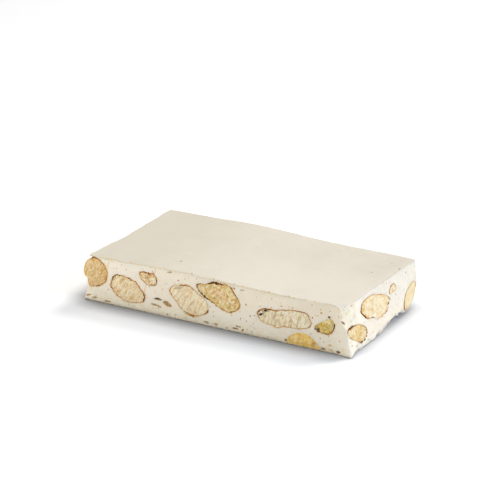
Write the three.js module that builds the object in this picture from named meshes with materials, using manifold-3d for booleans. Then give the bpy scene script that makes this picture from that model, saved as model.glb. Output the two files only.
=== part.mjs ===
// A cut bar of soft white nougat with whole almonds and pistachios in it,
// lying flat between two sheets of edible wafer.
//
// Millimetres, +Z up. +X runs along the bar, -Y is its long front face.
// The origin is the middle of the bar's box, at the bottom.
//
// Pieces: the nougat itself, the wafer sheet on its top and the one under it,
// and each nut that the knife has laid open on one of the four cut faces.

import * as THREE from 'three';
import { mergeVertices } from 'three/addons/utils/BufferGeometryUtils.js';
import Module from 'manifold-3d';

// ---------------------------------------------------------------- sizes
const THICK = 18.5;          // nominal height of the bar over both wafers
const WAFER = 0.4;           // one wafer sheet
const GAP = 0.3;             // clearance between neighbouring pieces

// the eight corners of the cut bar, seen from above: [x, y]
const FOOT = { fl: [-56.3, -28.6], fr: [57.5, -28.9], br: [55.4, 27.6], bl: [-55.5, 29.3] };
const HEAD = { fl: [-52.3, -29.4], fr: [52.4, -27.9], br: [54.4, 28.6], bl: [-53.8, 29.6] };

const HUMP = { at: -14, reach: 21, height: 0.9 };           // the slab was rolled a little thicker here
const SAG = { at: 26, reach: 16, height: -0.25 };           // and a little thinner here
const UNDERCUT = { at: 10, reach: 9, depth: 2.2, height: 3.2 };   // broken lower edge of the right end
const HEEL = { reach: 12, height: 9.5, power: 1.6, along: 0.07 };  // lower corner broken off, back right
// the right end stands out further towards its near upper corner, which is
// chipped: [height, how far in]
const FLARE = { x: 2.4, y: -0.75, start: 0.955 };
const CHIP = { reach: 0.13, line: [[0, 0], [3.8, 0.2], [8.5, 0.3], [11.6, 1.7], [13.3, 2.3], [15.2, 1.2], [16.5, 1.9], [18.5, 2.6]] };
const BOW = { front: 0.35, back: 0.5, ends: 0.4 };          // the cut faces aren't quite flat

// length that each face coordinate s runs over; h runs over THICK
const SPAN = { front: 110, right: 56.3, back: 110, left: 58 };

// the box's middle lies here in the corner coordinates above
const CENTRE = [0.60, 0.10];

const GRID = { along: 16, across: 8, up: 5 };               // facets of the bar
const NUT_SIDES = 14, NUT_RINGS = 6;                        // facets of a nut

// Nuts. On each face s runs from the left lower corner to the right, seen from
// outside, and h runs up. a, b: half length and half width of the cut section;
// turn: degrees from the face's length; n: 2 is an ellipse, more is squarer;
// c3, s3: how far the section leans to an egg or a triangle; in: how deep the nut reaches.
const ALMOND = 'almond', PISTACHIO = 'pistachio';
const NUTS = [
  // name          kind       face     s      h      a      b     turn    n     c3      s3     in
  ['almond_f1', ALMOND, 'front', 2.73, 12.0, 6.07, 4.83, -59.5, 2.35, -0.048, -0.024, 7.0],
  ['almond_f2', ALMOND, 'front', 17.51, 7.64, 7.66, 4.59, -22.6, 1.96, 0.026, 0.015, 5.5],
  ['almond_f3', ALMOND, 'front', 27.01, 13.85, 4.01, 2.2, -14.4, 1.89, -0.13, -0.056, 2.6],
  ['almond_f4', ALMOND, 'front', 44.6, 8.5, 8.6, 4.85, -22.2, 1.9, -0.017, 0.04, 5.0],
  ['almond_f5', ALMOND, 'front', 59.0, 12.8, 8.9, 4.5, -12.5, 1.7, -0.09, -0.045, 4.5],
  ['almond_f6', ALMOND, 'front', 84.35, 9.21, 10.73, 3.22, 6.3, 3.2, 0.04, 0.03, 5.0],
  ['almond_f7', ALMOND, 'front', 91.6, 0.9, 7.1, 4.2, 0, 2.2, 0, 0, 4.5],
  ['pistachio_f1', PISTACHIO, 'front', 102.09, 9.51, 4.34, 2.11, 29.2, 2.25, 0.022, 0.114, 2.4],
  ['almond_r1', ALMOND, 'right', 23.26, 11.12, 10.0, 4.3, -10.8, 2.0, -0.009, 0.03, 5.5],
  ['almond_r2', ALMOND, 'right', 36.74, 13.46, 2.82, 1.42, -1.9, 1.87, -0.014, -0.082, 2.0],
  ['almond_r3', ALMOND, 'right', 49.9, 6.38, 6.06, 3.42, 36.7, 2.0, 0.012, -0.025, 3.6],
  ['almond_r4', ALMOND, 'right', 8.05, 6.45, 6.6, 3.15, -18.9, 2.0, -0.011, 0.0, 4.0],
  ['almond_b1', ALMOND, 'back', 12.5, 10.2, 6.4, 4.5, 35, 2.0, 0.02, -0.03, 5.0],
  ['almond_b2', ALMOND, 'back', 26, 6.1, 8.2, 3.9, -12, 2.1, -0.03, 0.02, 5.0],
  ['pistachio_b1', PISTACHIO, 'back', 35.5, 13.3, 4.2, 2.3, 20, 2.1, 0.06, 0.05, 2.6],
  ['almond_b3', ALMOND, 'back', 47.5, 9.4, 9.2, 4.6, 14, 1.9, 0.03, -0.03, 5.5],
  ['almond_b4', ALMOND, 'back', 61.5, 13.2, 4.9, 3.1, -28, 2.0, -0.05, 0.04, 4.0],
  ['almond_b5', ALMOND, 'back', 67, 4.8, 6.5, 2.8, 4, 2.6, 0.02, 0.03, 4.5],
  ['almond_b6', ALMOND, 'back', 81, 9.6, 7.4, 4.6, -38, 2.0, 0.02, -0.02, 5.0],
  ['almond_b7', ALMOND, 'back', 96, 12.4, 6.6, 3.4, 12, 1.9, -0.04, 0.03, 4.5],
  ['almond_b8', ALMOND, 'back', 102, 4.9, 3.8, 2.1, -18, 2.0, -0.08, 0.05, 2.6],
  ['almond_l1', ALMOND, 'left', 11, 10.2, 6.9, 4.5, 25, 2.0, 0.03, 0.02, 4.5],
  ['almond_l2', ALMOND, 'left', 26.5, 6.6, 8.2, 3.7, -8, 2.1, -0.02, 0.03, 5.0],
  ['almond_l3', ALMOND, 'left', 40, 12.2, 4.9, 3.7, 40, 2.0, 0.03, -0.04, 4.5],
  ['pistachio_l1', PISTACHIO, 'left', 43.5, 4.4, 3.4, 1.9, -12, 2.1, 0.05, 0.08, 2.4],
];

const LOOK = {
  nougat: { color: 0xeee7d8, roughness: 0.62, metalness: 0 },
  wafer: { color: 0xf0e8d8, roughness: 0.85, metalness: 0 },
  almond: { color: 0xdcc394, roughness: 0.6, metalness: 0 },
  pistachio: { color: 0xc7ad68, roughness: 0.55, metalness: 0 },
};

// ---------------------------------------------------------------- the bar's form
const mix = (a, b, t) => a + (b - a) * t;
const clamp01 = (t) => Math.min(1, Math.max(0, t));
const ease = (t) => { const k = clamp01(t); return k * k * (3 - 2 * k); };
const bell = (x, f) => Math.exp(-(((x - f.at) / f.reach) ** 2));

// how far the broken corner lies back from the whole bar's back face at a height
function heelAt(z) {
  const t = clamp01(1 - z / HEEL.height);
  return HEEL.reach * (1 - (1 - t ** HEEL.power) ** (1 / HEEL.power));
}

function chipAt(z) {
  const l = CHIP.line;
  const i = Math.max(1, l.findIndex(([h]) => h >= Math.min(z, l.at(-1)[0])));
  return mix(l[i - 1][1], l[i][1], clamp01((z - l[i - 1][0]) / (l[i][0] - l[i - 1][0])));
}

// u along the bar, v from front to back, w from bottom to top, each 0 to 1;
// whole leaves the broken lower corner on
function barPoint(u, v, w, whole = false) {
  const c = (set, i) => mix(mix(set.fl[i], set.fr[i], u), mix(set.bl[i], set.br[i], u), v);
  let x = mix(c(FOOT, 0), c(HEAD, 0), w);
  let y = mix(c(FOOT, 1), c(HEAD, 1), w);
  const middle = 4 * w * (1 - w);
  const right = ease((u - 0.9) / 0.1), back = ease((v - 0.75) / 0.25);
  x -= right * (1 - ease(THICK * w / UNDERCUT.height)) * UNDERCUT.depth * bell(y, UNDERCUT);
  if (!whole) y -= heelAt(THICK * w) * ease((u - 1 + HEEL.along) / HEEL.along) * ease((v - 0.55) / 0.45);
  // slight bow of the cut faces, none at the corners
  const su = 4 * u * (1 - u), sv = 4 * v * (1 - v);
  y += middle * su * (back * BOW.back - ease((0.25 - v) / 0.25) * BOW.front);
  x += middle * sv * BOW.ends * (right - ease((0.1 - u) / 0.1));
  const end = clamp01((u - FLARE.start) / (1 - FLARE.start));
  x += FLARE.x * w * (1 - v) * end;
  y += FLARE.y * w * (1 - v) * end;
  x -= chipAt(THICK * w) * clamp01(1 - v / CHIP.reach) * end;
  const rise = HUMP.height * bell(x, HUMP) + SAG.height * bell(x, SAG);
  const z = THICK * w + rise * ease((w - 0.6) / 0.4);
  return [x - CENTRE[0], y - CENTRE[1], z];
}

// a block of the bar between two heights, measured up from the bottom face
// (from) and down from the top face (to); reachLeft lets it run past the left end
function barBlock(zLow, zHigh, { up = GRID.up, reachLeft = 0, fromTop = false } = {}) {
  const g = new THREE.BoxGeometry(1, 1, 1, GRID.along, GRID.across, up);
  const p = g.attributes.position;
  for (let i = 0; i < p.count; i++) {
    const u = mix(-reachLeft, 1, p.getX(i) + 0.5);
    const v = p.getY(i) + 0.5;
    const t = (p.getZ(i) + 0.5) ** 1.5;    // facets closer together low down
    // heights: the bottom is flat, the top follows the bar's own top
    const top = barPoint(u, v, 1)[2];
    const lo = fromTop ? top - zLow : zLow;
    const hi = top - zHigh;
    const z = mix(lo, fromTop ? hi : (zHigh < 0 ? -zHigh : hi), t);
    const q = barPoint(u, v, clamp01(z / top));
    p.setXYZ(i, q[0], q[1], z);
  }
  return g;
}

// ---------------------------------------------------------------- the nuts
const FACES = {
  front: { at: (s, w) => barPoint(s, 0, w), inward: [0, 1, 0] },
  right: { at: (s, w) => barPoint(1, s, w, true), inward: [-1, 0, 0] },
  back: { at: (s, w) => barPoint(1 - s, 1, w), inward: [0, -1, 0] },
  left: { at: (s, w) => barPoint(0, 1 - s, w), inward: [1, 0, 0] },
};

// half size of a nut's section in the direction t, measured from its long axis
function section(t, a, b, n, c3, s3) {
  const k = (Math.abs(Math.cos(t)) / a) ** n + (Math.abs(Math.sin(t)) / b) ** n;
  return k ** (-1 / n) * (1 + c3 * Math.cos(3 * t) + s3 * Math.sin(3 * t));
}

// a whole nut: its section lies on the cut face and is its widest part
function nutShape([, , face, s, h, a, b, turn, n, c3, s3, deep], grow = 0) {
  const g = new THREE.SphereGeometry(1, NUT_SIDES, NUT_RINGS);
  const p = g.attributes.position, f = FACES[face], tilt = THREE.MathUtils.degToRad(turn);
  for (let i = 0; i < p.count; i++) {
    // the sphere's poles point into and out of the face
    const x = p.getX(i), y = p.getZ(i), d = p.getY(i);
    const flat = Math.hypot(x, y), t = Math.atan2(y, x);
    const r = flat * (section(t, a, b, n, c3, s3) + grow);
    const along = s + r * Math.cos(t + tilt), up = h + r * Math.sin(t + tilt);
    // past a corner or edge of the bar the face carries on straight
    const ks = along / SPAN[face], kh = up / THICK;
    const cs = clamp01(ks), ch = clamp01(kh);
    const q = f.at(cs, ch), q2 = f.at(cs + (cs > 0.5 ? -0.02 : 0.02), ch);
    const run = (ks - cs) / (cs > 0.5 ? -0.02 : 0.02);
    const depth = -d * (deep + grow);
    p.setXYZ(i,
      q[0] + (q2[0] - q[0]) * run + f.inward[0] * depth,
      q[1] + (q2[1] - q[1]) * run + f.inward[1] * depth,
      q[2] + (kh - ch) * THICK);
  }
  return g;
}

// ---------------------------------------------------------------- solids
const wasm = await Module();
wasm.setup();

function toSolid(geometry) {
  const g = geometry.clone();
  g.deleteAttribute('normal');
  g.deleteAttribute('uv');
  const m = mergeVertices(g, 1e-4);
  const at = m.attributes.position.array, tri = Uint32Array.from(m.index.array);
  // turn the faces out if the mapping has turned the form inside out
  let six = 0;
  for (let i = 0; i < tri.length; i += 3) {
    const [a, b, c] = [tri[i] * 3, tri[i + 1] * 3, tri[i + 2] * 3];
    six += at[a] * (at[b + 1] * at[c + 2] - at[b + 2] * at[c + 1])
      - at[a + 1] * (at[b] * at[c + 2] - at[b + 2] * at[c])
      + at[a + 2] * (at[b] * at[c + 1] - at[b + 1] * at[c]);
  }
  if (six < 0) for (let i = 0; i < tri.length; i += 3) [tri[i + 1], tri[i + 2]] = [tri[i + 2], tri[i + 1]];
  return new wasm.Manifold(new wasm.Mesh({ numProp: 3, vertProperties: Float32Array.from(at), triVerts: tri }));
}

function toGeometry(solid) {
  const m = solid.getMesh();
  const g = new THREE.BufferGeometry();
  g.setAttribute('position', new THREE.BufferAttribute(Float32Array.from(m.vertProperties), 3));
  g.setIndex(new THREE.BufferAttribute(Uint32Array.from(m.triVerts), 1));
  g.computeVertexNormals();
  return g;
}

function piece(name, geometry, look) {
  const mesh = new THREE.Mesh(geometry, new THREE.MeshStandardMaterial(LOOK[look]));
  mesh.name = name;
  return mesh;
}

const bar = new THREE.Group();

// the slab of nougat between the wafers, and the same slab run on past the
// left end, where one almond stands out of the cut
const slab = toSolid(barBlock(WAFER + GAP, WAFER + GAP));
const longSlab = toSolid(barBlock(WAFER + GAP, WAFER + GAP, { reachLeft: 0.12 }));

let nougat = slab;
for (const nut of NUTS) {
  const within = nut[0] === 'almond_f1' ? longSlab : slab;
  bar.add(piece(nut[0], toGeometry(within.intersect(toSolid(nutShape(nut)))), nut[1]));
  nougat = nougat.subtract(toSolid(nutShape(nut, GAP)));
}
bar.add(piece('nougat', toGeometry(nougat), 'nougat'));

bar.add(piece('wafer_bottom', toGeometry(toSolid(barBlock(0, -WAFER, { up: 1 }))), 'wafer'));
bar.add(piece('wafer_top', toGeometry(toSolid(barBlock(WAFER, 0, { up: 1, fromTop: true }))), 'wafer'));

export default bar;
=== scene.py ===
"""Looks of a cut bar of soft white nougat with almonds and pistachios between two edible wafers.

All shapes are worked out here in millimetres in the part's own frame and turned into metres
when the meshes are made. Every random number is seeded.
"""
import math
import bpy
import numpy as np
from mathutils import Matrix, Vector
from mathutils.geometry import delaunay_2d_cdt


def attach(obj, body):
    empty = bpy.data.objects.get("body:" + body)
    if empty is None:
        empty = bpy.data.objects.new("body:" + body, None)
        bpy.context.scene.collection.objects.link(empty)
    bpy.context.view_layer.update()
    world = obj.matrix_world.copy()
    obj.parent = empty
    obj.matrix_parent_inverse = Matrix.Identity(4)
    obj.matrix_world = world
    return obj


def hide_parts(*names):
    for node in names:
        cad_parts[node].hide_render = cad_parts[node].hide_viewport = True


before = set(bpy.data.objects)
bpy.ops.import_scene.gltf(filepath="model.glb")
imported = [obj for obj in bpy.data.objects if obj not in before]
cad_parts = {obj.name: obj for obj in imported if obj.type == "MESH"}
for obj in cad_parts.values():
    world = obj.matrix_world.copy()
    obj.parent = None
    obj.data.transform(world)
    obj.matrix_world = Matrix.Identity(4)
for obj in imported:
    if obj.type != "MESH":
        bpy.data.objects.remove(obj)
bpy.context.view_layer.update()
MM = 0.001

# ------------------------------------------------------------------ the bar's form, as in the CAD
THICK, WAFER = 18.5, 0.4
FOOT = dict(fl=(-56.3, -28.6), fr=(57.5, -28.9), br=(55.4, 27.6), bl=(-55.5, 29.3))
HEAD = dict(fl=(-52.3, -29.4), fr=(52.4, -27.9), br=(54.4, 28.6), bl=(-53.8, 29.6))
HUMP, SAG = (-14, 21, 0.9), (26, 16, -0.25)
UNDERCUT = (10, 9, 2.2, 3.2)
LIP = (57.5, -28.9, 3.0, 0.9)      # the near lower corner was drawn out by the knife: x, y, reach, how far
FLARE = (2.4, -0.75)               # how far the near upper corner stands out, x and y
CHIP = ((0, 3.8, 8.5, 10.2, 11.6, 13.3, 14.4, 15.0, 15.6, 16.5, 17.5, 18.5), (0, 0.2, 0.3, 0.9, 1.7, 2.3, 1.7, 1.2, 1.3, 1.9, 2.3, 2.7))   # height, depth
CHIP_REACH = 0.13
HEEL_REACH, HEEL_HEIGHT, HEEL_POWER, HEEL_ALONG = 12, 9.5, 1.6, 0.07
BOW_FRONT, BOW_BACK, BOW_ENDS = 0.35, 0.5, 0.4
SPAN = dict(front=110.0, right=56.3, back=110.0, left=58.0)
CENTRE = (0.60, 0.10)
FACES = ("front", "right", "back", "left")


def ease(t):
    k = np.clip(t, 0, 1)
    return k * k * (3 - 2 * k)


def bell(x, f):
    return np.exp(-(((x - f[0]) / f[1]) ** 2))


def heel_at(z):
    """How far the broken lower corner lies back from the whole bar's back face at a height."""
    t = np.clip(1 - z / HEEL_HEIGHT, 0, 1)
    return HEEL_REACH * (1 - (1 - t ** HEEL_POWER) ** (1 / HEEL_POWER))


def bar_point(u, v, w, whole=False, chipped=1.0):
    """u along the bar, v front to back, w bottom to top, each 0 to 1: a point of the bar's outer form."""
    u, v, w = np.broadcast_arrays(np.asarray(u, float), np.asarray(v, float), np.asarray(w, float))

    def c(s, i):
        a = s["fl"][i] + (s["fr"][i] - s["fl"][i]) * u
        b = s["bl"][i] + (s["br"][i] - s["bl"][i]) * u
        return a + (b - a) * v

    x = c(FOOT, 0) + (c(HEAD, 0) - c(FOOT, 0)) * w
    y = c(FOOT, 1) + (c(HEAD, 1) - c(FOOT, 1)) * w
    middle = 4 * w * (1 - w)
    right, back = ease((u - 0.9) / 0.1), ease((v - 0.75) / 0.25)
    x = x - right * (1 - ease(THICK * w / UNDERCUT[3])) * UNDERCUT[2] * bell(y, UNDERCUT)
    if not whole:
        y = y - heel_at(THICK * w) * ease((u - 1 + HEEL_ALONG) / HEEL_ALONG) * ease((v - 0.55) / 0.45)
    lip = LIP[3] * np.exp(-((x - LIP[0]) / LIP[2]) ** 2 - ((y - LIP[1]) / LIP[2]) ** 2) * ease(1 - THICK * w / 2.5)
    x, y = x + lip, y - lip * 1.1
    su, sv = 4 * u * (1 - u), 4 * v * (1 - v)
    y = y + middle * su * (back * BOW_BACK - ease((0.25 - v) / 0.25) * BOW_FRONT)
    x = x + middle * sv * BOW_ENDS * (right - ease((0.1 - u) / 0.1))
    # the right end stands out further towards the near upper corner, where the nougat is chipped
    end = np.clip((u - 0.955) / 0.045, 0, 1)
    x = x + FLARE[0] * w * (1 - v) * end
    y = y + FLARE[1] * w * (1 - v) * end
    x = x - chipped * np.interp(THICK * w, *CHIP) * np.clip(1 - v / CHIP_REACH, 0, 1) * end
    rise = HUMP[2] * bell(x, HUMP) + SAG[2] * bell(x, SAG)
    z = THICK * w + rise * ease((w - 0.6) / 0.4)
    return np.stack([x - CENTRE[0], y - CENTRE[1], z], -1)


def face_point(face, s, h, whole=True):
    """s along a face from its left corner, seen from outside, h up, both in mm. Past a corner it runs on straight."""
    k, w = np.broadcast_arrays(np.asarray(s, float) / SPAN[face], np.asarray(h, float) / THICK)
    ck, cw = np.clip(k, 0, 1), np.clip(w, 0, 1)

    def at(k, w):
        if face == "front":
            return bar_point(k, 0, w)
        if face == "right":
            return bar_point(1, k, w, whole)
        if face == "back":
            return bar_point(1 - k, 1, w)
        return bar_point(0, 1 - k, w)

    p = at(ck, cw)
    step = np.where(ck > 0.5, -0.02, 0.02)
    q = at(ck + step, cw)
    run = ((k - ck) / step)[..., None]
    p = p + (q - p) * run * np.array([1, 1, 0])
    p[..., 2] += (w - cw) * THICK
    return p


def face_normal(face, s, h):
    e = 0.5
    a = face_point(face, s + e, h) - face_point(face, s - e, h)
    b = face_point(face, s, np.asarray(h) + e) - face_point(face, s, np.asarray(h) - e)
    n = np.cross(a, b)
    return n / np.linalg.norm(n, axis=-1, keepdims=True)


# ------------------------------------------------------------------ noise
def _hash(i, j, k, seed):
    m = np.uint32(0xFFFFFFFF)
    h = (i.astype(np.int64) * 73856093) ^ (j.astype(np.int64) * 19349663) ^ (k.astype(np.int64) * 83492791) ^ (seed * 2654435761)
    h = (h & 0xFFFFFFFF).astype(np.uint64)
    h ^= h >> np.uint64(15)
    h = (h * np.uint64(2246822519)) & np.uint64(m)
    h ^= h >> np.uint64(13)
    h = (h * np.uint64(3266489917)) & np.uint64(m)
    h ^= h >> np.uint64(16)
    return h


def noise(p, size, seed=0):
    """Gradient noise, about -1 to 1, with features of the given size in mm."""
    q = np.asarray(p, float) / size
    i = np.floor(q).astype(np.int64)
    f = q - i
    w = f * f * f * (f * (f * 6 - 15) + 10)
    out = np.zeros(q.shape[:-1])
    for dx in (0, 1):
        for dy in (0, 1):
            for dz in (0, 1):
                h = _hash(i[..., 0] + dx, i[..., 1] + dy, i[..., 2] + dz, seed)
                gx = (h & np.uint64(1023)).astype(float) / 511.5 - 1
                gy = ((h >> np.uint64(10)) & np.uint64(1023)).astype(float) / 511.5 - 1
                gz = ((h >> np.uint64(20)) & np.uint64(1023)).astype(float) / 511.5 - 1
                d = gx * (f[..., 0] - dx) + gy * (f[..., 1] - dy) + gz * (f[..., 2] - dz)
                wt = (w[..., 0] if dx else 1 - w[..., 0]) * (w[..., 1] if dy else 1 - w[..., 1]) * (w[..., 2] if dz else 1 - w[..., 2])
                out += d * wt
    return out * 1.5


def fbm(p, size, seed=0, octaves=3, gain=0.5):
    out, a, t = 0, 1.0, 0
    for o in range(octaves):
        out = out + a * noise(p, size / 2 ** o, seed + 17 * o)
        t += a
        a *= gain
    return out / t


def plane3(x, y, z=0.0):
    x, y, z = np.broadcast_arrays(np.asarray(x, float), np.asarray(y, float), np.asarray(z, float))
    return np.stack([x, y, z], -1)


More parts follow.
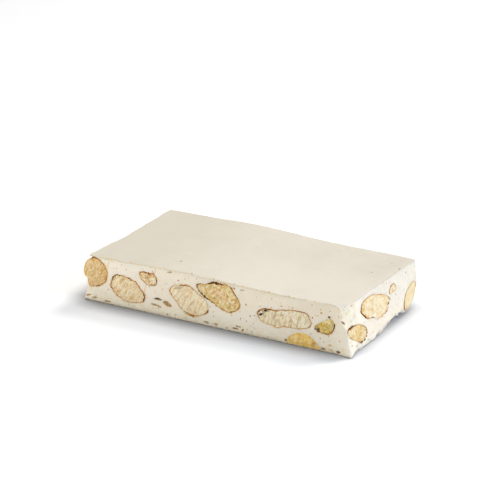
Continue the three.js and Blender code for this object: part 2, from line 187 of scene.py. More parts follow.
# ------------------------------------------------------------------ the nuts
# name: face, s, h, half length, half width, turn, squareness, c3, s3, depth  (as in the CAD)
# wave: how the outline departs from that smooth section, in mm: constant, then cos and sin of 1 to 6 turns
# edge: finer departures, (degrees from the face's length, mm outwards)
# skin: (degrees, width in mm, how dark from 0 to 1) round the rim; gap: (degrees, width) of open cracks beside it
NUTS = {
    "almond_f1": dict(at=("front", 2.73, 12.0, 6.07, 4.83, -59.5, 2.35, -0.048, -0.024, 7.0),
                      wave=(0, 0, 0, 0, 0, 0, 0, 0, 0, -.13, .07, .02, .07),
                      edge=((0, .35), (30, .35), (45, .25), (60, .25), (90, .1), (105, .2), (113, -.3), (120, -.7), (135, -.45), (150, -.3), (165, -.1), (195, -.1), (210, .1), (219, -.3), (226, -.6), (235, -.6), (245, -.2), (258, 0), (270, -.2), (285, .2), (300, .45), (315, .15), (345, .2)),
                      skin=((0, .25, .5), (12, .2, .4), (30, .14, .3), (42, .25, .4), (52, .25, .5), (62, .14, .3), (71, .3, .6), (80, .15, .4), (90, .3, .8), (100, .5, 1), (108, .6, 1), (114, .5, .8), (119, 0, 0), (245, 0, 0), (252, .2, .3), (262, .14, .3), (272, .08, .3), (282, .2, .5), (290, .4, .8), (300, .34, .7), (315, .3, .5), (330, .26, .4), (340, .34, .7)),
                      tone=(.69, .48, .195), grain=65, streak=1.0, blotch=.35, gold=.7),
    "almond_f2": dict(at=("front", 17.51, 7.64, 7.66, 4.59, -22.6, 1.96, 0.026, 0.015, 5.5),
                      wave=(0, 0, 0, 0, .02, -.03, 0, -.02, -.05, .11, 0, .05, .03),
                      edge=((0, .75), (15, .35), (40, .4), (50, .5), (60, .2), (70, .4), (80, .5), (90, .25), (105, -.1), (120, -.2), (128, .1), (137, .5), (150, .35), (160, 0), (168, .2), (180, .45), (190, -.1), (300, 0), (320, -.2), (330, .1), (338, .5), (350, .8)),
                      skin=((0, .45, .7), (10, .25, .3), (22, .26, .3), (33, .38, .6), (45, .2, .2), (58, .22, .4), (70, .42, .8), (84, .36, .7), (95, .22, .3), (107, .24, .4), (120, .3, .3), (130, .36, .8), (140, .52, .9), (150, .55, 1), (160, .4, .6), (170, .5, .9), (182, .6, .8), (192, .3, .1), (212, .3, .3), (240, .22, .3), (270, .2, .3), (310, .25, .3), (330, .3, .5), (340, .42, .8), (350, .5, 1)),
                      tone=(.84, .72, .5), grain=62, streak=1.0, blotch=.3, gold=.3),
    "almond_f3": dict(at=("front", 27.01, 13.85, 4.01, 2.2, -14.4, 1.89, -0.13, -0.056, 2.6),
                      wave=(0, 0, 0, -.01, -.02, .08, .02, -.01, .02, -.07, -.09, .04, -.02),
                      edge=((0, .25), (15, .25), (30, -.15), (45, 0), (60, 0), (75, -.25), (90, -.4), (108, -.45), (120, -.1), (135, .1), (150, .3), (162, 0), (180, -.1), (195, .1), (210, .35), (240, .4), (255, .45), (270, .25), (290, 0), (345, 0)),
                      skin=((0, .4, .5), (10, .4, .9), (20, .2, .3), (30, .12, .2), (40, .22, .4), (50, .34, .6), (62, .45, .5), (80, .5, .7), (92, .6, .7), (105, .6, .8), (118, .55, 1), (130, .5, 1), (140, .42, .7), (150, .32, .4), (165, .36, .6), (180, .16, .2), (192, .24, .4), (210, .34, .5), (225, .24, .4), (240, .26, .4), (256, .16, .3), (272, .24, .6), (282, .28, .8), (292, .34, .7), (302, .45, .6), (310, .55, .8), (320, .42, .5), (335, .36, .6), (345, .34, .7)),
                      tone=(.79, .66, .42), grain=40, streak=.5, blotch=1.0, gold=.2),
    "almond_f4": dict(at=("front", 44.6, 8.5, 8.6, 4.85, -22.2, 1.9, -0.017, 0.04, 5.0),
                      wave=(.1, .12, .24, -.06, -.14, .08, .13, -.03, .14, -.2, .1, 0, .07),
                      edge=((0, 0), (20, .1), (30, .3), (45, .4), (58, .5), (75, .1), (90, 0), (110, -.4), (122, -.6), (135, -.7), (148, -.3), (158, .1), (166, .3), (174, -.1), (182, -.3), (195, -.2), (240, -.2), (255, 0), (320, 0), (338, .15), (350, 0)),
                      skin=((0, 0, 0), (12, 0, 0), (30, .10, .15), (52, .10, .15), (62, .19, .15), (70, .28, .38), (80, .10, .15), (90, .36, .38), (100, .36, .22), (110, .28, .45), (122, .32, .52), (132, .11, .22), (145, .14, .22), (155, .24, .15), (163, .28, .22), (171, .40, .75), (180, .14, .15), (190, .23, .22), (202, .17, .15), (212, .25, .38), (220, .19, .15), (230, .27, .38), (241, .13, .15), (252, .23, .22), (272, .19, .15), (281, .28, 0), (290, .38, .45), (300, .33, .22), (311, .13, .08), (322, .23, .22), (331, .32, .52), (338, .57, .75), (344, .47, .75), (350, 0, 0)),
                      tone=(.85, .765, .57), grain=66, streak=.7, blotch=.3, gold=.2),
    "almond_f5": dict(at=("front", 59.0, 12.8, 8.9, 4.5, -12.5, 1.7, -0.09, -0.045, 4.5),
                      wave=(.15, -.23, -.11, -.1, -.17, -.1, -.04, -.01, .09, -.12, -.18, .09, .14),
                      edge=((0, .35), (30, .35), (45, .4), (60, .1), (75, 0), (90, -.15), (105, -.3), (120, -.2), (130, .1), (140, 0), (149, -.35), (156, -1.0), (160, -.5), (164, .5), (168, 1.0), (172, .6), (177, .2), (182, -.2), (192, -.25), (205, -.15), (222, 0), (240, 0), (255, -.2), (270, -.05), (285, 0), (300, .2), (315, .05), (330, .4), (345, .1)),
                      skin=((0, .24, .40), (12, .28, .40), (28, .30, .40), (38, .38, .64), (50, .27, .40), (62, .21, .24), (70, .11, .16), (80, .28, .40), (90, .40, .56), (100, .46, .6), (108, .58, .8), (118, .70, 1), (124, .76, 1), (132, .50, .8), (140, .64, 1), (150, .54, 1), (155, .10, .24), (160, .20, .4), (164, .52, 1), (170, .70, 1), (174, .32, .6), (178, .14, .16), (180, .58, 1), (184, .70, 1), (186, .10, .24), (189, .70, 1), (191, .70, 1), (193, .11, .24), (195, .70, 1), (200, .70, 1), (203, .28, .40), (212, .28, .40), (222, .34, .40), (232, .28, .40), (243, .14, .24), (252, .27, .48), (262, .28, .48), (270, .47, .80), (277, .28, .40), (290, .25, .32), (300, .28, .24), (308, .34, .64), (318, .28, .40), (330, .17, .24), (338, .38, .80), (344, .38, .80), (352, .14, .16)),
                      tone=(.79, .62, .29), grain=58, streak=.45, blotch=1.0, gold=.5, green=.35),
    "almond_f6": dict(at=("front", 84.35, 9.21, 10.73, 3.22, 6.3, 3.2, 0.04, 0.03, 5.0),
                      wave=(-.06, .29, .08, .23, .13, .04, .02, -.01, -.08, .05, .26, -.1, -.14),
                      edge=((0, .45), (5, .5), (10, -.2), (15, .2), (22, .5), (27, .05), (38, 0), (45, .25), (60, .3), (75, .45), (90, .25), (105, .1), (120, .45), (130, .3), (140, -.2), (150, -.35), (158, -.4), (163, .4), (167, -.15), (180, .15), (187, .3), (195, .1), (205, -.1), (220, -.1), (230, .2), (240, .2), (250, 0), (300, 0), (330, .1), (335, .4), (341, .2), (350, .25)),
                      skin=((0, .27, .28), (10, .20, .14), (20, .35, .35), (30, .34, .28), (40, .16, .07), (50, .29, .28), (70, .26, .35), (82, .26, .21), (92, .18, .14), (108, .22, .28), (120, .20, .28), (130, .44, .49), (140, .38, .28), (150, .22, .14), (158, .34, .42), (165, .22, .21), (172, .39, .49), (180, .44, .49), (192, .26, .14), (200, .18, .07), (212, .26, .14), (222, .29, .21), (240, .20, .07), (255, .20, .14), (265, .26, .21), (272, .20, .21), (285, .31, .28), (302, .34, .28), (315, .31, .21), (330, .20, .14), (342, .34, .21), (350, .35, .35)),
                      gap=((-90, 0), (120, 0), (150, .5), (160, .9), (166, .2), (172, .9), (180, .2), (190, 0)),
                      tone=(.88, .835, .675), grain=70, streak=.8, blotch=.3, gold=.1, grey=.55),
    "almond_f7": dict(at=("front", 91.6, 0.9, 7.1, 4.2, 0, 2.2, 0, 0, 4.5),
                      wave=(-.29, -.05, .1, -.29, .01, -.06, -.25, .03, -.06, .01, -.12, .06, -.03),
                      skin=((-90, 0), (90, 0)),
                      tone=(1.0, .70, .18), grain=74, streak=.35, blotch=.5, gold=.35),
    "pistachio_f1": dict(at=("front", 102.09, 9.51, 4.34, 2.11, 29.2, 2.25, 0.022, 0.114, 2.4),
                         wave=(0, .02, 0, -.02, .02, .03, -.06, -.02, -.03, -.07, .15, .03, -.04),
                         edge=((0, .4), (15, .3), (30, -.1), (60, 0), (180, 0), (195, .4), (210, .2), (240, .2), (255, .1), (270, 0), (285, .3), (300, .5), (330, .4)),
                         skin=((0, .3, .6), (10, .38, .8), (20, .34, .7), (28, .12, .3), (35, 0, 0), (150, 0, 0), (165, .1, .1), (185, .25, .5), (195, .3, .8), (205, .5, 1), (213, .55, 1), (221, .4, .9), (230, .3, .7), (240, .4, .8), (252, .45, 1), (262, .45, 1), (272, .36, .8), (282, .26, .5), (292, .28, .5), (302, .2, .3), (312, .3, .6), (325, .28, .6), (338, .22, .4), (350, .38, .9)),
                         tone=(.69, .54, .12), grain=60, streak=.5, blotch=.9, gold=.2, kind="pistachio"),
    "almond_r1": dict(at=("right", 23.26, 11.12, 10.0, 4.3, -10.8, 2.0, -0.009, 0.03, 5.5),
                      wave=(.16, -.36, 0, .23, -.07, -.08, .02, .17, -.02, -.17, .03, .15, .09),
                      edge=((0, -0.21), (9, -0.22), (11, -0.15), (30, 0.02), (40, 0.06), (60, 0.10), (90, 0.26), (106, 0.40), (120, 0.69), (143, 1.11), (145, 1.16), (156, 1.70), (158, 1.64), (161, 1.44), (165, 1.35), (169, 1.29), (172, 1.09), (175, 0.47), (180, -0.07), (189, 0.17), (190, 0.14), (200, -0.25), (212, -0.78), (225, -0.90), (238, -0.71), (250, -0.04), (258, 0.31), (272, 0.27), (280, 0.17), (303, -0.42), (311, -0.39), (327, 0.10), (329, 0.07), (340, -0.57), (348, -1.54), (349, -1.40), (353, -0.68), (355, -0.37), (357, -0.20)),
                      skin=((5, .10, .16), (20, .09, .08), (35, .10, .08), (50, .20, .16), (65, .20, .16), (80, .15, .08), (100, .12, .08), (115, .17, .16), (128, .09, .08), (140, .17, .16), (153, .27, .40), (162, .36, .64), (172, .42, .80), (180, .42, .72), (188, .38, .48), (193, .26, .24), (198, 0, 0), (250, 0, 0), (257, .17, .16), (264, .20, .16), (272, .17, .16), (280, .26, .24), (290, .20, .16), (305, .20, .16), (318, .26, .24), (327, .17, .16), (334, .09, .08), (346, .42, .64), (351, .26, .24), (356, .13, .16)),
                      gap=((-90, 0), (160, 0), (185, .6), (215, .9), (228, .2), (238, 0)),
                      tone=(.79, .67, .435), grain=80, streak=.2, blotch=.6, gold=.5),
    "almond_r2": dict(at=("right", 36.74, 13.46, 2.82, 1.42, -1.9, 1.87, -0.014, -0.082, 2.0),
                      wave=(0, .02, 0, -.02, -.05, 0, .03, .01, .03, 0, -.08, .01, .05),
                      edge=((0, -0.61), (18, -0.29), (30, -0.06), (60, 0.07), (90, 0.31), (107, 0.52), (120, 0.66), (150, 1.17), (156, 1.19), (179, 1.16), (180, 1.15), (200, 0.91), (212, -0.48), (216, -0.46), (240, -0.19), (270, -0.27), (300, -0.45), (330, -0.63), (333, -0.63)),
                      skin=((0, .17, .23), (45, .22, .35), (90, .22, .23), (120, .24, .35), (145, .34, .35), (175, .30, .23), (200, .19, .23), (240, .14, .12), (300, .24, .35), (330, .14, .12)),
                      tone=(.75, .67, .49), grain=60, streak=.3, blotch=1.0, gold=.2),
    "almond_r3": dict(at=("right", 49.90, 6.38, 6.06, 3.42, 36.7, 2.0, 0.012, -0.025, 3.6),
                      wave=(0, 0, 0, 0, 0, 0, 0, 0, 0, 0, 0, 0, 0),
                      edge=((0, 0.32), (1, 0.30), (30, 0.02), (45, -0.08), (60, -0.09), (86, -0.19), (90, -0.21), (120, -0.14), (147, 0.09), (150, 0.11), (180, 0.17), (188, 0.12), (215, -0.28), (216, -0.27), (240, 0.44), (258, 0.99), (270, 1.38), (287, 1.65), (300, 1.67), (327, 1.20), (328, 1.20)),
                      skin=((-60, .05, .1), (0, .05, .1), (50, .1, .2), (90, .14, .2), (150, .14, .2), (180, .16, .2), (215, .24, .4), (235, .3, .5), (255, .14, .3), (280, .05, .2)),
                      tone=(.775, .67, .42), grain=60, streak=.3, blotch=.15, gold=.2),
    "almond_r4": dict(at=("right", 8.05, 6.45, 6.6, 3.15, -18.9, 2.0, -0.011, 0, 4.0),
                      wave=(.05, -.32, -.25, .2, .04, -.12, -.11, .11, .02, -.06, -.03, .04, 0),
                      edge=((0, 0.10), (17, -0.02), (30, -0.01), (60, 0.02), (86, 0.13), (90, 0.14), (105, 0.04), (120, -0.06), (139, -0.14), (140, -0.16), (150, 0.02), (158, 0.37), (160, 0.46), (170, 0.32), (176, 0.06), (180, -0.07), (195, -0.38), (210, -0.69), (213, -0.65), (240, -0.14), (270, 0.14), (285, 0.42), (290, 0.45), (300, 0.42), (315, 0.08), (326, -0.32), (330, -0.47), (342, -0.53), (345, -0.45), (352, -0.27)),
                      skin=((0, .36, .5), (12, .38, .5), (22, .36, .6), (32, .24, .4), (42, .22, .3), (52, .26, .4), (65, .22, .4), (78, .12, .3), (90, .06, .2), (112, .06, .2), (124, .15, .5), (133, .35, .9), (141, .6, 1), (150, .6, .9), (157, .3, .5), (163, 0, 0), (232, 0, 0), (242, .2, .2), (252, .3, .4), (262, .32, .5), (272, .26, .3), (281, .5, .8), (289, .6, 1), (298, .36, .6), (306, .1, .2), (322, .05, .2), (332, .18, .3), (342, .28, .5), (352, .3, .5)),
                      gap=((-60, 0), (80, 0), (110, .5), (140, .6), (165, 0)),
                      tone=(.745, .605, .315), grain=80, streak=.2, blotch=.75, gold=.6),
    "almond_b1": dict(at=("back", 12.5, 10.2, 6.4, 4.5, 35, 2.0, 0.02, -0.03, 5.0), skin=((0, .3), (80, .5), (150, .25), (230, .3), (300, .1)),
                      tone=(.83, .67, .43), grain=60, streak=.8, blotch=.4, gold=.4),
    "almond_b2": dict(at=("back", 26, 6.1, 8.2, 3.9, -12, 2.1, -0.03, 0.02, 5.0), skin=((0, .25), (60, .3), (120, .22), (180, .5), (270, .25)),
                      tone=(.86, .73, .52), grain=66, streak=1.0, blotch=.3, gold=.2),
    "pistachio_b1": dict(at=("back", 35.5, 13.3, 4.2, 2.3, 20, 2.1, 0.06, 0.05, 2.6), skin=((0, .4), (60, .1), (120, .2), (200, .5), (280, .45)),
                         tone=(.69, .55, .19), grain=60, streak=.5, blotch=1.0, gold=.2, kind="pistachio"),
    "almond_b3": dict(at=("back", 47.5, 9.4, 9.2, 4.6, 14, 1.9, 0.03, -0.03, 5.5), skin=((0, .3), (45, .24), (100, .5), (150, .3), (180, .25), (240, .35), (300, .25)),
                      tone=(.84, .69, .46), grain=58, streak=.7, blotch=.7, gold=.4),
    "almond_b4": dict(at=("back", 61.5, 13.2, 4.9, 3.1, -28, 2.0, -0.05, 0.04, 4.0), skin=((0, .25), (90, .3), (140, .5), (200, .25), (300, .3)),
                      tone=(.81, .63, .36), grain=70, streak=.4, blotch=.9, gold=.6),
    "almond_b5": dict(at=("back", 67, 4.8, 6.5, 2.8, 4, 2.6, 0.02, 0.03, 4.5), skin=((0, .25), (90, .2), (180, .3), (270, .25)),
                      tone=(.80, .70, .52), grain=70, streak=1.0, blotch=.3, gold=.1, grey=.4),
    "almond_b6": dict(at=("back", 81, 9.6, 7.4, 4.6, -38, 2.0, 0.02, -0.02, 5.0), skin=((0, .35), (60, .25), (130, .3), (190, .55), (250, .2), (300, .0)),
                      tone=(.86, .72, .49), grain=62, streak=.9, blotch=.4, gold=.3),
    "almond_b7": dict(at=("back", 96, 12.4, 6.6, 3.4, 12, 1.9, -0.04, 0.03, 4.5), skin=((0, .3), (70, .5), (120, .25), (200, .25), (280, .3)),
                      tone=(.82, .65, .40), grain=55, streak=.5, blotch=.8, gold=.5),
    "almond_b8": dict(at=("back", 102, 4.9, 3.8, 2.1, -18, 2.0, -0.08, 0.05, 2.6), skin=((0, .4), (90, .5), (180, .25), (270, .3)),
                      tone=(.82, .68, .45), grain=55, streak=.5, blotch=.8, gold=.2),
    "almond_l1": dict(at=("left", 11, 10.2, 6.9, 4.5, 25, 2.0, 0.03, 0.02, 4.5), skin=((0, .3), (90, .25), (150, .5), (200, .4), (250, 0), (300, .1)),
                      tone=(.85, .71, .48), grain=75, streak=.4, blotch=.8, gold=.4),
    "almond_l2": dict(at=("left", 26.5, 6.6, 8.2, 3.7, -8, 2.1, -0.02, 0.03, 5.0), skin=((0, .5), (60, .25), (120, .3), (180, .25), (270, .3)),
                      tone=(.84, .70, .47), grain=66, streak=.8, blotch=.5, gold=.3),
    "almond_l3": dict(at=("left", 40, 12.2, 4.9, 3.7, 40, 2.0, 0.03, -0.04, 4.5), skin=((0, .25), (100, .45), (180, .3), (270, .5)),
                      tone=(.82, .65, .38), grain=66, streak=.4, blotch=.9, gold=.6),
    "pistachio_l1": dict(at=("left", 43.5, 4.4, 3.4, 1.9, -12, 2.1, 0.05, 0.08, 2.4), skin=((0, .2), (90, .1), (180, .5), (270, .45)),
                         tone=(.68, .55, .19), grain=60, streak=.5, blotch=1.0, gold=.2, kind="pistachio"),
}


# what shows in the cut flesh of the nuts, in mm from each nut's middle: along the face, up, half length,
# half width, turn in degrees, tint and strength
TINTS = dict(cream=(0.93, 0.85, 0.68), ivory=(0.95, 0.91, 0.82), 
             sand=(0.82, 0.66, 0.42), tan=(0.73, 0.53, 0.30), pink=(0.84, 0.64, 0.46), honey=(0.72, 0.49, 0.16), amber=(0.64, 0.38, 0.11), 
             rust=(0.56, 0.29, 0.08), olive=(0.60, 0.47, 0.17), moss=(0.53, 0.46, 0.20), straw=(0.82, 0.70, 0.36), grey=(0.58, 0.47, 0.32), 
             umber=(0.45, 0.35, 0.22), dark=(0.36, 0.23, 0.13), pale=(0.80, 0.71, 0.52), gold=(0.76, 0.61, 0.14), ink=(0.04, 0.018, 0.012), apricot=(0.97, 0.73, 0.36))
MARKS = {
    "almond_f4": (
        # the umber mark at its upper-left tip is painted shade
        (-4.15, 4.27, 2.5, .62, 14, "umber", .6), (-4.75, 2.37, 1.48, .25, 60, "grey", .5),
        (-5.31, .51, .84, .19, -61, "grey", .45), (1.81, -.33, 2.56, .42, 50, "tan", .5),
        (2.25, -.44, .87, .37, 71, "tan", .55), (.15, -3.0, 1.25, .69, 58, "tan", .6),
        (2.94, -4.37, .41, .29, 27, "olive", .6), (-.87, 2.79, .68, .29, 73, "sand", .4),
        (4.53, -.9, 1.6, .27, 65, "cream", .5), (1.46, -2.02, .89, .17, 75, "cream", .5),
        (6.48, -1.61, 1.34, .59, 65, "pale", .4),
    ),
    "almond_f5": (
        (-9.18, 1.36, 2.17, 1.46, 18, "tan", .5), (-5.84, 2.47, 2.73, .65, 11, "olive", .65),
        (-1.64, .38, 3.82, 2.16, -10, "pink", .5), (-3.63, .57, .39, .29, 26, "amber", .7),
        (-3.21, -.92, .47, .36, 31, "rust", .8), (2.55, .59, .46, .32, 23, "rust", .75),
        (4.03, -.83, .5, .33, 22, "rust", .8), (3.29, -1.74, .54, .41, 64, "amber", .7),
        (2.8, -3.6, .56, .44, 55, "amber", .75), (-.89, 2.3, .75, .27, -36, "olive", .55),
        (-2.35, -1.63, .88, .49, -19, "olive", .6), (5.51, -1.61, 2.39, .89, 51, "amber", .7),
        (4.77, -1.17, .85, .36, 37, "ivory", .8), (2.6, 1.98, 1.72, 1.04, 5, "sand", .5),
        (.19, -3.71, 1.2, .86, -4, "straw", .45), (-5.85, -.93, .79, .43, -18, "honey", .5),
    ),
    "almond_f6": (
        # the two ink marks at its left tip are painted shade in small voids
        (-8.9, .2, 1.3, .42, 24, "ink", .98), (-6.75, 1.9, .9, .5, 10, "ink", .98), (-8.4, 1.05, .8, .36, 22, "ivory", .95), (-7.9, 1.9, .4, .3, 20, "rust", .8),
        (-2.92, .99, 1.75, .43, 55, "grey", .75), (-1.53, 2.56, .6, .26, -3, "grey", .5),
        (.12, 1.4, .33, .23, 36, "dark", .8), (.2, -1.47, .44, .3, 58, "umber", .65), (9.35, 2.57, .33, .23, 36, "grey", .6),
        (-.29, -.71, 2.01, .17, 58, "grey", .6), (-1.89, -.75, .67, .19, 44, "grey", .5),
        (3.81, .59, 1.7, .39, 64, "tan", .6), (5.74, 2.33, .75, .17, -47, "umber", .65),
        (2.84, -1.93, .95, .48, 9, "moss", .55), (5.29, -1.3, .91, .15, -49, "umber", .65),
        (-5.45, -1.16, .53, .36, 31, "tan", .5), (-1.1, 1.24, .83, .52, 24, "straw", .5),
        (10.83, .85, 1.83, 1.01, 70, "pale", .6), (2.1, .27, 2.1, .15, 69, "tan", .45),
        (-7.48, -.14, 1.34, .69, 30, "sand", .4),
    ),
    "almond_f7": (
        (-4.75, 1.25, 1.91, .86, 61, "apricot", .7), (-3.07, 1.81, 1.7, .24, 72, "apricot", .6),
        (-1.52, 2.23, 1.89, .35, 68, "amber", .35), (.33, 2.28, 1.88, .73, 75, "apricot", .5),
        (1.5, 2.51, 1.53, .17, 66, "apricot", .6), (-4.25, 1.14, 1.21, .15, 73, "tan", .5),
        (-1.42, .47, 2.39, .26, 9, "amber", .4), (1.45, .45, .88, .27, 14, "amber", .5),
        (4.31, 1.1, 1.1, .8, 43, "amber", .95), (3.3, .95, .8, .15, 78, "rust", .8), (5.87, .84, .93, .7, 25, "apricot", .8),
        (3.38, 2.89, .83, .3, -76, "apricot", .6),
    ),
    "pistachio_f1": (
        (2.38, 2.93, 1.16, .59, 0, "gold", .6), (.08, 1.46, 1.55, .3, 24, "gold", .5),
        (2.57, 1.04, 1.36, .92, 68, "moss", .6), (.09, -.82, 1.12, .19, 41, "dark", .55),
        (-3.4, -1.38, .91, .56, -1, "ink", .9), (-.75, 1.45, .3, .2, 36, "cream", .7),
        (-1.9, .32, .78, .47, 25, "amber", .5),
    ),
    "almond_f1": (
        (-3.62, .82, 2.83, 1.47, -81, "straw", .5), (-3.35, 3.62, 1.48, 1.12, 12, "sand", .6),
        (-.42, .25, 1.32, .37, 65, "olive", .6), (-1.54, .31, 1.3, .29, 71, "tan", .45),
        (1.89, 3.73, .35, .31, 15, "umber", .7), (1.28, 2.43, .5, .2, -59, "olive", .6),
        (3.36, -1.45, 1.17, .41, 71, "tan", .55), (.77, -3.64, 1.11, .29, 71, "tan", .5),
        (3.39, -2.93, .78, .63, 18, "olive", .55), (-2.39, 2.78, 1.14, .41, -90, "tan", .5),
        (-1.31, -2.63, .97, .68, 14, "sand", .5), (1.31, -1.29, .94, .18, 68, "pale", .5),
        (-3.45, -2.37, .77, .58, -83, "straw", .6),
    ),
    "almond_f2": (
        (-2.61, 3.31, 1.37, .49, 65, "tan", .6), (-.17, 1.5, 1.69, .29, 73, "tan", .7),
        (-.31, 3.6, .78, .16, 76, "cream", .6), (-4.41, .02, 1.12, .49, 64, "tan", .5),
        (-3.53, -1.43, 1.51, .44, 21, "tan", .5), (3.33, -2.04, .97, .34, 81, "honey", .7),
        (2.03, -.73, .44, .35, 24, "tan", .5), (4.45, 1.71, 1.39, .68, 72, "pink", .4),
        (-.49, -1.39, .62, .35, 15, "tan", .55), (6.11, -1.19, 1.07, .74, -67, "sand", .5),
        (1.5, 1.67, 1.74, .2, 73, "cream", .45),
    ),
    "almond_f3": (
        (-.62, .04, 1.02, .7, 13, "grey", .55), (1.42, -1.2, .53, .36, 14, "cream", .6),
        (-1.67, -1.79, .58, .33, 13, "cream", .5), (.43, -.97, .49, .32, 13, "olive", .6),
        (-2.23, .37, .43, .38, 82, "grey", .5), (.78, 1.19, .58, .34, 10, "umber", .5),
        (-2.74, -.71, .34, .28, 19, "cream", .5),
    ),
    "almond_r1": (
        (-10.83, 2.86, 2.35, 1.16, 25, "honey", .75), (-9.27, -.1, 1.18, .38, -54, "honey", .65),
        (-2.81, 1.91, 5.16, 1.54, -18, "pale", .5), (-2.92, -2.64, 1.46, 1.08, -21, "ivory", .9),
        (-5.52, -2.19, .66, .22, 33, "tan", .6), (2.99, 1.27, 3.35, 1.03, -18, "cream", .4),
        (-6.72, 4.09, 1.56, 1.01, -14, "straw", .5),
    ),
    "almond_r3": (
        (.6, .13, 3.89, .38, 46, "pale", .5), (-1.13, 1.42, 3.42, .22, 46, "straw", .5),
        (2.22, -.99, 3.23, .19, 48, "sand", .4),
    ),
    "almond_r4": (
        (-.75, 1.3, 2.1, .7, -18, "honey", .7), (.61, -.21, 1.93, .51, -18, "honey", .5),
        (-1.84, -1.97, 3.23, .51, -23, "honey", .55), (-5.27, 2.11, 1.78, .97, -12, "pale", .6),
        (2.32, .15, .86, .35, -18, "cream", .5), (-3.6, .78, 1.56, .75, -17, "straw", .5),
        (2.71, -2.12, 1.33, .86, -19, "pink", .5),
    ),
}


def table_at(rows, deg, default):
    if not rows:
        return np.full(np.shape(deg), default)
    x, y = np.array([r[0] % 360 for r in rows], float), np.array([r[1] for r in rows], float)
    o = np.argsort(x)
    return np.interp(np.asarray(deg) % 360, x[o], y[o], period=360)


def rim(name, phi, fine=True):
    """Half size of a nut's section in the face direction phi, in radians."""
    n = NUTS[name]
    _, _, _, a, b, turn, sq, c3, s3, _ = n["at"]
    t = phi - math.radians(turn)
    k = (np.abs(np.cos(t)) / a) ** sq + (np.abs(np.sin(t)) / b) ** sq
    r = k ** (-1 / sq) * (1 + c3 * np.cos(3 * t) + s3 * np.sin(3 * t))
    w = n.get("wave")
    if w:
        r = r + w[0]
        for j in range(1, 7):
            r = r + w[2 * j - 1] * np.cos(j * t) + w[2 * j] * np.sin(j * t)
    seed = n["seed"]
    if n.get("edge"):
        r = r + table_at(n["edge"], np.degrees(phi), 0.0)
    if not w:
        for j in range(2, 6):
            r = r + 0.10 * rnd(seed, j) * np.cos(j * t + 6.3 * rnd(seed, j + 20))
    if fine:
        size = math.sqrt(a * b)
        ring = plane3(np.cos(phi) * size, np.sin(phi) * size, seed * 3.7)
        r = r + 0.09 * noise(ring, 1.3, seed) + 0.055 * noise(ring, 0.6, seed + 5)
    return r


def rnd(seed, k):
    return float(_hash(np.array([seed]), np.array([k]), np.array([7]), 11)[0]) / 4294967295.0 * 2 - 1


for _i, _n in enumerate(NUTS):
    NUTS[_n]["seed"] = 101 + _i * 13


def polar(name, s, h):
    """Distance from a nut's middle and direction, for points of its face."""
    _, s0, h0 = NUTS[name]["at"][:3]
    x, y = s - s0, h - h0
    return np.hypot(x, y), np.arctan2(y, x)


# ------------------------------------------------------------------ mesh helpers
def make_mesh(name, verts_mm, quads=None, tris=None, smooth=True):
    verts = np.asarray(verts_mm, float) * MM
    nq, nt = (0 if quads is None else len(quads)), (0 if tris is None else len(tris))
    me = bpy.data.meshes.new(name)
    me.vertices.add(len(verts))
    me.vertices.foreach_set("co", verts.astype(np.float32).ravel())
    loops = np.concatenate([np.asarray(quads, np.int64).ravel() if nq else np.zeros(0, np.int64),
                            np.asarray(tris, np.int64).ravel() if nt else np.zeros(0, np.int64)])
    me.loops.add(len(loops))
    me.loops.foreach_set("vertex_index", loops.astype(np.int32))
    me.polygons.add(nq + nt)
    starts = np.concatenate([np.arange(nq) * 4, nq * 4 + np.arange(nt) * 3])
    me.polygons.foreach_set("loop_start", starts.astype(np.int32))
    me.polygons.foreach_set("use_smooth", np.full(nq + nt, smooth))
    me.update(calc_edges=True)
    me.validate()
    ob = bpy.data.objects.new(name, me)
    bpy.context.scene.collection.objects.link(ob)
    return ob


def attr(ob, name, values, kind="FLOAT"):
    a = ob.data.attributes.new(name, kind, "POINT")
    values = np.asarray(values, np.float32)
    key = {"FLOAT": "value", "FLOAT_VECTOR": "vector", "FLOAT_COLOR": "color"}[kind]
    a.data.foreach_set(key, values.ravel())


def grid_quads(rows, cols, wrap=False, first=0):
    """Quads of a grid stored row by row; with wrap the last column joins the first."""
    i = np.arange(rows - 1)[:, None]
    j = np.arange(cols if wrap else cols - 1)[None, :]
    k = (j + 1) % cols
    q = np.stack([i * cols + j, i * cols + k, (i + 1) * cols + k, (i + 1) * cols + j], -1).reshape(-1, 4)
    return q + first


def cap_tris(loop_xy, spacing, up):
    """Triangles that close a loop seen from above, with inner points on a coarse grid."""
    n = len(loop_xy)
    lo, hi = loop_xy.min(0), loop_xy.max(0)
    gx, gy = np.meshgrid(np.arange(lo[0] + 2, hi[0] - 2, spacing), np.arange(lo[1] + 2, hi[1] - 2, spacing))
    inner = np.stack([gx.ravel(), gy.ravel()], -1)
    keep = (inner[:, 0] > lo[0] + 5) & (inner[:, 0] < hi[0] - 5) & (inner[:, 1] > lo[1] + 2.5) & (inner[:, 1] < hi[1] - 2.5)
    inner = inner[keep]
    pts = np.vstack([loop_xy, inner])
    edges = [(i, (i + 1) % n) for i in range(n)]
    out = delaunay_2d_cdt([Vector(p) for p in pts], edges, [], 1, 1e-6)
    co = np.array([list(v) for v in out[0]])
    tri = np.array([f for f in out[2] if len(f) == 3])
    a, b, c = co[tri[:, 0]], co[tri[:, 1]], co[tri[:, 2]]
    area = (b[:, 0] - a[:, 0]) * (c[:, 1] - a[:, 1]) - (b[:, 1] - a[:, 1]) * (c[:, 0] - a[:, 0])
    flip = (area < 0) if up else (area > 0)
    tri[flip] = tri[flip][:, ::-1]
    # which of the given points each output vertex came from
    source = [s[0] for s in out[3]]
    return tri, np.array(source), inner


def left_wave(y):
    """How the left end bulges along its length."""
    return 0.42 * noise(plane3(y, 3.0), 10.0, 71) + 0.20 * noise(plane3(y, 5.0), 4.2, 72)


